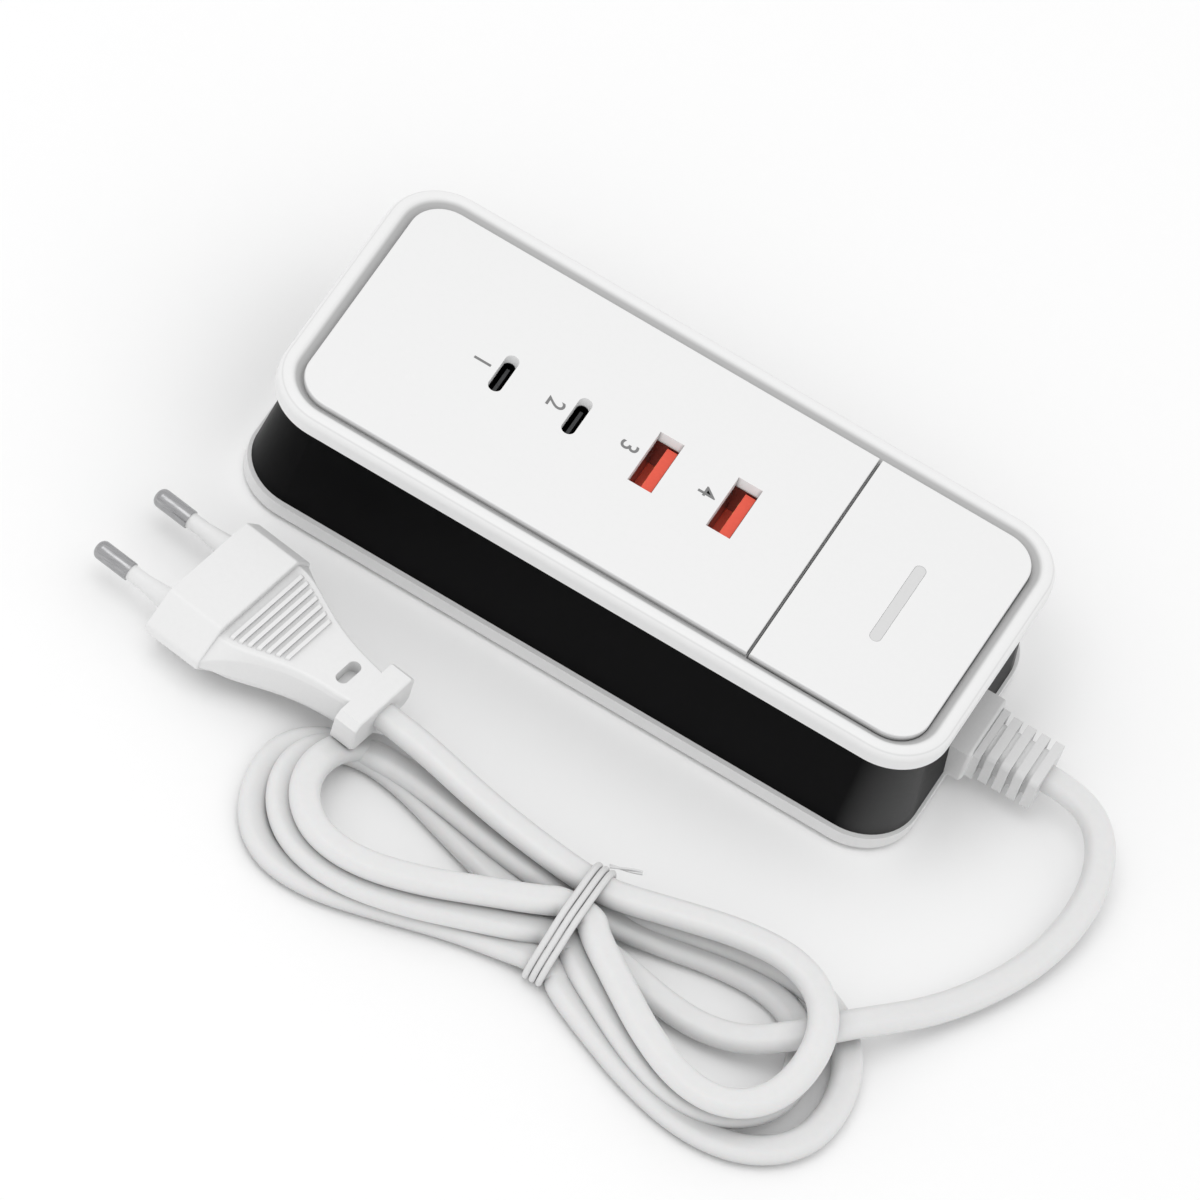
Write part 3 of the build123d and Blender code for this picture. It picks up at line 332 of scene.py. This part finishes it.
# Moulded vinyl is clean and white, with soft painted shade between its ribs
PLUG_PVC = Finish(
    "white_vinyl_moulded", "#ebebeb", "#e7e7e7", (0.4, 0.5), 0.9, 0.005, crease_shade="#bdbdbd",
    crease_mm=2.0,
)
# The pins' hard sleeves are smoother and a little brighter than the cord
SLEEVE_PBT = Finish("white_polyester_sleeve", "#e8e8e8", "#e3e3e3", (0.36, 0.44), 0.8, 0.003)
# A thin vinyl skin on wire looks duller than the cord under it
TIE_PVC = Finish("white_vinyl_coated_wire", "#e2e2e2", "#dadada", (0.4, 0.5), 0.6, 0.006)
# Plated pins are drawn to length, so their bright fine lines run along X
PIN_NICKEL = Finish(
    "nickel_plated_brass_drawn", "#bcbcbd", "#8f8f91", (0.2, 0.32), 0.35, 0.002, (14.0, 1.0, 1.0),
    metallic=1.0,
)
# Frosted polycarbonate spreads the lamp's light and looks pale grey when it is off
LENS_PC = Finish(
    "frosted_polycarbonate_moulded", "#d9d9d9", "#d4d4d4", (0.38, 0.46), 0.8, 0.003, ior=1.58
)
# Pad-printed ink lies flat and matt on the panel
INK = Finish("grey_pad_print_ink", "#808080", "#787878", (0.5, 0.6), 0.5, 0.002)
# Bright tin on pressed steel shows as a thin pale wall in the mouths
PORT_STEEL = Finish(
    "tin_plated_steel_pressed", "#b9b9b8", "#a4a4a3", (0.26, 0.36), 0.6, 0.003, metallic=1.0
)
# The small oval tubes are plated dark, so their mouths stay black
PORT_DARK = Finish(
    "black_nickel_plated_steel_drawn", "#3a3a3c", "#2e2e30", (0.3, 0.4), 0.6, 0.003, metallic=1.0
)
# Dyed nylon makes the large ports glow orange red in the white panel
PORT_ORANGE = Finish("orange_nylon_moulded", "#f05c44", "#e5523c", (0.4, 0.5), 0.7, 0.004)
# Dark nylon tongues are just lighter than the mouths round them
PORT_BLACK = Finish("dark_grey_nylon_moulded", "#3a3b3d", "#2f3032", (0.4, 0.5), 0.7, 0.004)
# A gold flash gives the contacts a warm glint
CONTACT_GOLD = Finish(
    "gold_flashed_bronze_pressed", "#d8a95a", "#c2934a", (0.2, 0.3), 0.5, 0.002, metallic=1.0
)
# Rubber feet are matt and take no highlight
FOOT_RUBBER = Finish("grey_rubber_moulded", "#6d6d6c", "#5f5f5e", (0.7, 0.82), 0.6, 0.02)
# Zinc plating is a cool grey with a soft shine
SCREW_STEEL = Finish(
    "zinc_plated_steel_rolled", "#bdbcb8", "#9f9e9a", (0.26, 0.4), 0.5, 0.004, metallic=1.0
)
# Solder mask over glass cloth is deep green with a faint weave of tone
BOARD_GLASS = Finish("green_glass_epoxy_laminate", "#2f6b3f", "#255a33", (0.36, 0.5), 1.4, 0.01)
# Sintered ferrite is dark, dry and grainy
FERRITE = Finish("grey_ferrite_sintered", "#3d3d40", "#2e2e31", (0.6, 0.75), 0.6, 0.02)
# Wound tape shows its overlapping turns as bands
TAPE = Finish(
    "yellow_polyester_tape_wound", "#d9b92e", "#c7a622", (0.3, 0.42), 2.2, 0.05,
    pattern=Pattern.BANDS,
)
# Shrink sleeve is dark with a tight plastic sheen
CAN_SLEEVE = Finish("dark_shrink_sleeve", "#23262c", "#1b1e23", (0.3, 0.42), 1.2, 0.01)
# Filled epoxy is charcoal and dull
PART_RESIN = Finish("filled_epoxy_moulded", "#34353a", "#28292d", (0.5, 0.62), 0.6, 0.01)
# Rolled sheet has long fine lines along X
SINK_ALUMINIUM = Finish(
    "rolled_aluminium_sheet", "#c4c6c8", "#aeb0b2", (0.3, 0.42), 0.4, 0.004, (16.0, 1.0, 1.0),
    metallic=1.0,
)
# Cast epoxy is milky and glossy
LAMP_EPOXY = Finish("milky_epoxy_cast", "#e6e8ea", "#dcdee0", (0.2, 0.3), 1.0, 0.002)
# The two inner wires keep the usual colours of mains leads
WIRE_BROWN = Finish("brown_vinyl_extruded", "#6d4428", "#5f3a21", (0.4, 0.5), 0.8, 0.004)
WIRE_BLUE = Finish("blue_vinyl_extruded", "#2f5fa8", "#274f8e", (0.4, 0.5), 0.8, 0.004)
# Backdrop paper is an even white with no shine
FLOOR_PAPER = Finish("white_backdrop_paper", "#fbfbfb", "#fafafa", (0.85, 0.95), 4.0, specular=0.1)


def dress(finish: Finish, *nodes: str) -> None:
    """Gives CAD nodes a finish.

    Args:
        finish: The finish to show.
        nodes: The nodes' names.
    """
    for node in nodes:
        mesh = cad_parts[node].data
        mesh.materials.clear()
        mesh.materials.append(finish.material())
        LOG.info("%s: %s", node, finish.name)


def link(name: str, data: bpy.types.ID) -> bpy.types.Object:
    """Puts a new object into the scene.

    Args:
        name: The object's name.
        data: What it shows.

    Returns:
        The object.
    """
    made = bpy.data.objects.new(name, data)
    bpy.context.scene.collection.objects.link(made)
    return made


def nurbs(curve: bpy.types.Curve, points: list[Vector]) -> None:
    """Adds one smooth open line to a curve.

    Args:
        curve: The curve to add to.
        points: The line's control points in metres.
    """
    spline = curve.splines.new("NURBS")
    spline.points.add(len(points) - 1)
    for control, point in zip(spline.points, points):
        control.co = (*point, 1.0)
    spline.order_u = 3
    spline.use_endpoint_u = True


def round_wire(name: str, diameter: float, steps: int) -> bpy.types.Curve:
    """Starts an empty curve that draws a round wire.

    Args:
        name: The curve's name.
        diameter: The wire's thickness in metres.
        steps: Drawn steps between two control points.

    Returns:
        The curve, still without a line.
    """
    curve = bpy.data.curves.new(name, "CURVE")
    curve.dimensions = "3D"
    curve.bevel_depth = diameter / 2
    curve.bevel_resolution = WIRE_FACETS
    curve.resolution_u = steps
    curve.use_fill_caps = True
    return curve


@dataclass
class Studio:
    """White floor, broad soft light and the camera. Sizes are in metres."""

    floor_side: float = 6.0
    floor_gap: float = 0.0002
    sky_strength: float = 0.9
    key_power: float = 2.8
    key_size: float = 0.9
    key_place: tuple[float, float, float] = (-0.2, -0.25, 1.25)
    look_at: tuple[float, float, float] = (0.00129, -0.02345, 0.0156)
    azimuth: float = 9.7
    elevation: float = 51.6
    roll: float = 22.7
    distance: float = 3.0
    clip_end: float = 12.0
    view_width: float = 0.2329
    sensor_mm: float = 36.0

    def build(self) -> None:
        """Makes the floor, the lights and the camera."""
        self._floor()
        self._light()
        self._camera()
        bpy.context.scene.view_settings.view_transform = "Standard"

    def _floor(self) -> None:
        """Lays the pale floor just under the feet."""
        half = self.floor_side / 2
        mesh = bpy.data.meshes.new("floor")
        corners = [(x, y, -self.floor_gap) for x, y in ((-1, -1), (1, -1), (1, 1), (-1, 1))]
        mesh.from_pydata([(x * half, y * half, z) for x, y, z in corners], [], [(0, 1, 2, 3)])
        mesh.materials.append(FLOOR_PAPER.material())
        link("floor", mesh)

    def _light(self) -> None:
        """Sets an even white surround and one large overhead softbox."""
        world = bpy.data.worlds.new("white_surround")
        world.use_nodes = True
        surround = world.node_tree.nodes["Background"]
        surround.inputs["Color"].default_value = (1.0, 1.0, 1.0, 1.0)
        surround.inputs["Strength"].default_value = self.sky_strength
        bpy.context.scene.world = world
        lamp = bpy.data.lights.new("softbox", "AREA")
        lamp.shape = "DISK"
        lamp.size = self.key_size
        lamp.energy = self.key_power
        softbox = link("softbox", lamp)
        softbox.location = self.key_place
        aim = Vector(self.look_at) - Vector(self.key_place)
        softbox.rotation_euler = aim.to_track_quat("-Z", "Y").to_euler()

    def _camera(self) -> None:
        """Places the long-lens camera, turned about its own axis."""
        around, above, turn = (math.radians(a) for a in (self.azimuth, self.elevation, self.roll))
        level = Vector((math.cos(around), math.sin(around), 0.0))
        flat = math.cos(above)
        back = Vector((math.sin(around) * flat, -math.cos(around) * flat, math.sin(above)))
        upright = back.cross(level)
        right = level * math.cos(turn) + upright * math.sin(turn)
        up = upright * math.cos(turn) - level * math.sin(turn)
        data = bpy.data.cameras.new("camera")
        data.sensor_width = self.sensor_mm
        data.lens = self.sensor_mm * self.distance / self.view_width
        data.clip_end = self.clip_end
        camera = link("camera", data)
        turned = Matrix((right, up, back)).transposed().to_4x4()
        stand = Vector(self.look_at) + back * self.distance
        camera.matrix_world = Matrix.Translation(stand) @ turned
        bpy.context.scene.camera = camera


@dataclass
class Case:
    """The moulded case and its four ports. Sizes are in millimetres."""

    number_height: float = 5.4
    number_gap: float = 3.4
    number_bold: float = 0.03
    number_thick: float = 0.04

    def build(self) -> None:
        """Dresses the case and prints a plain number beside each port."""
        dress(WHITE_ABS, "top_frame")
        dress(PANEL_ABS, "port_panel", "power_button")
        dress(BLACK_ABS, "mid_housing")
        dress(GREY_ABS, "base_tray")
        dress(LENS_PC, "indicator_lens")
        dress(FOOT_RUBBER, "rubber_feet")
        dress(SCREW_STEEL, "case_screws")
        for index in (1, 2):
            dress(PORT_STEEL, f"usb_a_shell_{index}")
            dress(PORT_DARK, f"usb_c_shell_{index}")
            dress(PORT_ORANGE, f"usb_a_tongue_{index}")
            dress(PORT_BLACK, f"usb_c_tongue_{index}")
            dress(CONTACT_GOLD, f"usb_a_contacts_{index}")
        ports = [f"usb_{kind}_shell_{index}" for kind in "ca" for index in (1, 2)]
        for number, port in enumerate(ports, 1):
            self._print_number(str(number), port)

    def _print_number(self, number: str, port: str) -> None:
        """Prints one number on the panel, read with the port's long side upright.

        Args:
            number: The text to print.
            port: The port's shell, which it stands beside.
        """
        low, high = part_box(port)
        panel_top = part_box("port_panel")[1].z
        text = bpy.data.curves.new(f"port_number_{number}_outline", "FONT")
        text.body = number
        text.size = self.number_height * MM
        text.offset = self.number_bold * MM
        text.extrude = self.number_thick * MM / 2
        text.align_x = "CENTER"
        text.align_y = "CENTER"
        drawn = bpy.data.objects.new("outline", text)
        mesh = bpy.data.meshes.new_from_object(drawn)
        mesh.name = f"port_number_{number}"
        bpy.data.objects.remove(drawn)
        place = Vector((low.x - self.number_gap * MM, (low.y + high.y) / 2, panel_top))
        mesh.transform(Matrix.Translation(place) @ Matrix.Rotation(-math.pi / 2, 4, "Z"))
        mesh.materials.clear()
        mesh.materials.append(INK.material())
        piece = link(mesh.name, mesh)
        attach(piece, "housing")
        LOG.info("%s beside %s", piece.name, port)


class Innards:
    """The boards and the parts on them, inside the closed case."""

    def build(self) -> None:
        """Dresses every inner node."""
        dress(BOARD_GLASS, "main_board", "port_board")
        dress(SCREW_STEEL, "board_screws", "port_board_screws")
        dress(CONTACT_GOLD, "link_pins")
        dress(TAPE, "transformer_winding")
        dress(FERRITE, "transformer_core", "filter_choke")
        dress(CAN_SLEEVE, "bulk_capacitor", "output_capacitors")
        dress(PART_RESIN, "filter_capacitor", "bridge_rectifier", "fuse", "power_transistor")
        dress(PART_RESIN, "switch_body", "led_holder")
        dress(PORT_BLACK, "switch_plunger")
        dress(SINK_ALUMINIUM, "heat_sink")
        dress(LAMP_EPOXY, "indicator_led")
        dress(WIRE_BROWN, "live_wire")
        dress(WIRE_BLUE, "neutral_wire")


class Plug:
    """The flat two-pin plug on the cord's far end."""

    def build(self) -> None:
        """Dresses the plug's nodes."""
        dress(PLUG_PVC, "plug_body")
        dress(SLEEVE_PBT, "pin_sleeve_1", "pin_sleeve_2")
        dress(PIN_NICKEL, "plug_pin_1", "plug_pin_2")

    def nodes(self) -> list[str]:
        """Names the plug's nodes."""
        return ["plug_body", "pin_sleeve_1", "pin_sleeve_2", "plug_pin_1", "plug_pin_2"]


class Strand(Enum):
    """A strand's place under the tie: millimetres across the bundle and above the floor."""

    LOW_1 = (-9.8, 3.2)
    LOW_2 = (-6.0, 4.6)
    LOW_3 = (0.0, 3.2)
    LOW_4 = (4.6, 5.6)
    LOW_5 = (10.0, 3.2)
    TOP_1 = (-8.0, 9.4)
    TOP_2 = (-0.4, 9.6)


class Side(Enum):
    """Which way a loop of the hank points from the tie, as an angle from +X in degrees."""

    LEFT = 181.0
    RIGHT = -9.4


@dataclass(frozen=True)
class Loop:
    """One loop of the hank. Sizes are in millimetres.

    reach is how far it goes from the tie, bows how wide it swings on its way out and back, powers
    how late it swings there, and heights gives points along it, from 0 to 1, with the cord's
    height there.
    """

    side: Side
    reach: float
    bows: tuple[float, float]
    powers: tuple[float, float]
    leaves: Strand
    returns: Strand
    heights: tuple[tuple[float, float], ...]


# The height in millimetres of a strand that lies on the floor: half the cord's thickness
RESTING = 2.1
# The hank's loops in the order in which the cord takes them
LOOPS = (
    Loop(
        Side.LEFT, 62.4, (-13.5, 17.0), (3.0, 2.0), Strand.LOW_3, Strand.LOW_4,
        ((0.15, RESTING), (0.38, RESTING), (0.5, 5.0), (0.58, 5.9), (0.85, 5.9)),
    ),
    Loop(
        Side.RIGHT, 53.2, (14.6, -17.0), (2.0, 2.0), Strand.LOW_4, Strand.LOW_2,
        ((0.15, 5.4), (0.42, 4.2), (0.54, RESTING), (0.85, RESTING)),
    ),
    Loop(
        Side.LEFT, 66.8, (-12.0, 18.0), (3.0, 3.0), Strand.LOW_2, Strand.LOW_5,
        ((0.06, 5.0), (0.22, 5.6), (0.3, 4.0), (0.36, RESTING), (0.9, RESTING)),
    ),
    Loop(
        Side.RIGHT, 62.8, (15.0, -20.5), (2.0, 2.0), Strand.LOW_5, Strand.LOW_1,
        ((0.12, RESTING), (0.56, RESTING), (0.7, 4.6), (0.86, 5.0)),
    ),
    Loop(
        Side.LEFT, 58.4, (-15.2, 16.2), (3.0, 2.0), Strand.LOW_1, Strand.TOP_2,
        (
            (0.1, RESTING), (0.36, RESTING), (0.42, 4.6), (0.48, 7.6), (0.54, 9.4), (0.6, 9.8),
            (0.88, 9.8),
        ),
    ),
    Loop(
        Side.RIGHT, 54.6, (16.4, -17.5), (2.0, 2.0), Strand.TOP_2, Strand.TOP_1,
        (
            (0.2, 9.6), (0.42, 9.8), (0.5, 11.2), (0.57, 13.4), (0.68, 13.4), (0.78, 11.8),
            (0.9, 9.8),
        ),
    ),
)


@dataclass
class MainsCord:
    """The flat white cord from the case to the plug, tied in a bow. Sizes are in millimetres.

    Routes are steps along X from the cord's exit, with Y and Z. loop_nose is the power of sine
    that rounds a loop's far end, and draw_steps the drawn steps between two control points.
    """

    width: float = 6.2
    thickness: float = 4.2
    length_m: float = 1.075
    lead_in: float = 7.4
    lead: tuple[tuple[float, float, float], ...] = (
        (14.6, -4.0, 7.4), (19.0, -12.2, 5.8), (20.0, -24.0, 4.2), (17.6, -37.0, 3.2),
        (12.6, -49.2, 3.2), (6.2, -60.5, 4.2), (-0.6, -70.6, 7.4), (-6.2, -78.4, 9.5),
    )
    into_hank: tuple[tuple[float, float, float], ...] = (
        (-12.5, -85.2, 8.4), (-20.5, -89.6, 4.6), (-29.5, -91.2, 3.1), (-39.0, -90.5, 3.2),
        (-48.0, -88.7, 3.8),
    )
    tail: tuple[tuple[float, float, float], ...] = (
        (-73.0, -78.4, 9.9), (-81.6, -77.5, 10.5), (-90.5, -76.1, 11.2), (-98.6, -74.2, 11.6),
    )
    waist: tuple[float, float] = (-61.0, -87.0)
    waist_half: float = 3.5
    loop_points: int = 13
    loop_nose: float = 1.5
    draw_steps: int = 8
    plug_front: tuple[float, float, float] = (-157.87, -62.59, 8.75)
    plug_yaw: float = -10.7
    plug_tilt: float = 3.0
    plug_length: float = 45.5

    def exit(self) -> Vector:
        """Gives the middle of the relief's outer end, where the cord leaves it, in metres."""
        low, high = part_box("strain_relief")
        return Vector((high.x, (low.y + high.y) / 2, (low.z + high.z) / 2))

    def _through_tie(self, strand: Strand, side: Side) -> list[Vector]:
        """Gives the two points of a strand under the tie.

        Args:
            strand: Its place there.
            side: The loop that it goes on to.

        Returns:
            Steps from the exit, in millimetres.
        """
        ahead = math.copysign(self.waist_half, math.cos(math.radians(side.value)))
        across, z = strand.value
        y = self.waist[1] - across
        return [Vector((self.waist[0] + step, y, z)) for step in (-ahead, ahead)]

    def _height_along(self, loop: Loop, share: float) -> float:
        """Works out a loop's height at one place.

        Args:
            loop: The loop's sizes.
            share: How far round it the place is, from 0 to 1.

        Returns:
            The height in millimetres.
        """
        ends = [(0.0, loop.leaves.value[1]), (1.0, loop.returns.value[1])]
        marks = [ends[0], *loop.heights, ends[1]]
        for (start, low), (end, high) in zip(marks, marks[1:]):
            if share <= end:
                return low + (high - low) * (share - start) / (end - start)
        return marks[-1][1]

    def _round_loop(self, loop: Loop) -> list[Vector]:
        """Works out one loop's points, a drop shape that opens from the tie.

        Args:
            loop: The loop's sizes.

        Returns:
            Steps from the exit, in millimetres.
        """
        heading = math.radians(loop.side.value)
        out = Vector((math.cos(heading), math.sin(heading)))
        aside = Vector((out.y, -out.x)) if loop.side is Side.RIGHT else Vector((-out.y, out.x))
        points = []
        for index in range(1, self.loop_points + 1):
            share = index / (self.loop_points + 1)
            angle = math.pi * share
            half, strand = (0, loop.leaves) if share < 0.5 else (1, loop.returns)
            bow, power = loop.bows[half], loop.powers[half]
            # The drop's side is widest, at one bow, where this power of sine times cosine peaks
            widest = math.atan(math.sqrt(power))
            full = 1 / (math.sin(widest) ** power * math.cos(widest))
            away = loop.reach * math.sin(angle) ** self.loop_nose
            across = bow * full * math.sin(angle) ** power * abs(math.cos(angle))
            across += strand.value[0] * math.cos(angle) ** 2
            flat = Vector(self.waist) + out * away + aside * across
            points.append(Vector((*flat, self._height_along(loop, share))))
        return points

    def _into_plug(self) -> list[Vector]:
        """Gives the last two points, which run straight into the plug's collar.

        Returns:
            Steps from the exit, in millimetres.
        """
        yaw, tilt = math.radians(self.plug_yaw), math.radians(self.plug_tilt)
        flat = math.cos(tilt)
        axis = Vector((flat * math.cos(yaw), flat * math.sin(yaw), math.sin(tilt)))
        front = Vector(self.plug_front)
        return [front + axis * (self.plug_length + ahead) for ahead in (self.lead_in, 0.0)]

    def route(self) -> list[Vector]:
        """Gives the cord's control points from the case to the plug.

        Returns:
            Points in the shared frame, in metres.
        """
        start = self.exit()
        z = start.z / MM
        steps = [Vector((0.0, 0.0, z)), Vector((self.lead_in, 0.0, z))]
        steps += [Vector(step) for step in (*self.lead, *self.into_hank)]
        for loop in LOOPS:
            steps += self._through_tie(loop.leaves, loop.side)
            steps += self._round_loop(loop)
        steps += self._through_tie(LOOPS[-1].returns, Side.LEFT)
        steps += [Vector(step) for step in self.tail] + self._into_plug()
        return [Vector((start.x + step.x * MM, step.y * MM, step.z * MM)) for step in steps]

    def build(self, pieces: list[bpy.types.Object | str]) -> bpy.types.Object:
        """Draws the cord.

        Args:
            pieces: The pieces that the cord carries. Not used.

        Returns:
            The cord.
        """
        curve = round_wire("mains_cord", self.thickness * MM, self.draw_steps)
        # The section is drawn out sideways, and each point turned so that its wide side lies flat
        curve.extrude = (self.width - self.thickness) / 2 * MM
        curve.twist_mode = "Z_UP"
        nurbs(curve, self.route())
        for point in curve.splines[0].points:
            point.tilt = math.pi / 2
        curve.materials.append(CORD_PVC.material())
        cord = link("mains_cord", curve)
        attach(cord, "housing")
        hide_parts("cord_lead", "cord_hank", "cord_tail")
        LOG.info("mains_cord: %d control points", len(curve.splines[0].points))
        return cord


@dataclass
class TwistTie:
    """The thin tie round the hank's waist. Sizes are in millimetres.

    outline is the wire's way round the bundle, as Y from the bundle's middle and Z, and draw_steps
    the drawn steps between two control points.
    """

    wire: float = 1.35
    wraps: int = 3
    wrap_pitch: float = 1.5
    outline: tuple[tuple[float, float], ...] = (
        (0.0, 0.7), (-9.0, 0.7), (-13.0, 0.9), (-14.4, 3.2), (-13.4, 6.2), (-9.4, 8.8),
        (-4.2, 12.0), (0.0, 12.5), (8.8, 12.4), (12.0, 10.4), (13.8, 6.5), (14.1, 3.2), (12.8, 0.9),
        (9.0, 0.7),
    )
    tail_start: tuple[float, float, float] = (0.4, 13.6, 9.4)
    tail_end: tuple[float, float, float] = (6.4, 16.3, 9.2)
    tail_wire: float = 0.5
    tail_turns: float = 0.5
    tail_points: int = 26
    draw_steps: int = 6

    def build(self, middle: Vector) -> bpy.types.Object:
        """Winds the tie round the bundle.

        Args:
            middle: The bundle's middle on the floor, in metres.

        Returns:
            The tie.
        """
        curve = round_wire("tie_wire", self.wire * MM, self.draw_steps)
        nurbs(curve, [middle + step * MM for step in self._wound()])
        for half in (0.0, math.pi):
            nurbs(curve, [middle + step * MM for step in self._twisted(half)])
        for spline in list(curve.splines)[1:]:
            for point in spline.points:
                point.radius = self.tail_wire / self.wire
        curve.materials.append(TIE_PVC.material())
        tie = link("tie_wire", curve)
        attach(tie, "housing")
        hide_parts("twist_tie")
        LOG.info("tie_wire: %d wraps", self.wraps)
        return tie

    def _wound(self) -> list[Vector]:
        """Gives the wraps' points, side by side along X.

        Returns:
            Steps from the bundle's middle, in millimetres.
        """
        around = list(self.outline) * self.wraps + [self.outline[0]]
        step = self.wrap_pitch / len(self.outline)
        start = -self.wrap_pitch * self.wraps / 2
        return [Vector((start + step * index, y, z)) for index, (y, z) in enumerate(around)]

    def _twisted(self, half: float) -> list[Vector]:
        """Gives one of the two wires of the twisted tail.

        Args:
            half: Where round the twist this wire starts.

        Returns:
            Steps from the bundle's middle, in millimetres.
        """
        start, end = Vector(self.tail_start), Vector(self.tail_end)
        along = (end - start).normalized()
        side = along.cross(Vector((0.0, 0.0, 1.0))).normalized()
        rise = side.cross(along)
        points = []
        for index in range(self.tail_points):
            share = index / (self.tail_points - 1)
            angle = half + math.tau * self.tail_turns * share
            swing = side * math.cos(angle) + rise * math.sin(angle)
            points.append(start.lerp(end, share) + swing * self.tail_wire / 2)
        return points


def main() -> None:
    """Builds the scene piece by piece."""
    logging.basicConfig(level=logging.INFO, format="%(message)s")
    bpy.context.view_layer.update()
    Studio().build()
    Case().build()
    Innards().build()
    dress(RELIEF_TPE, "strain_relief")
    plug = Plug()
    plug.build()
    cord = MainsCord()
    waist = Vector((cord.exit().x + cord.waist[0] * MM, cord.waist[1] * MM, 0.0))
    tie = TwistTie().build(waist)
    cord.build([tie, "strain_relief", *plug.nodes()])


if __name__ == "__main__":
    main()
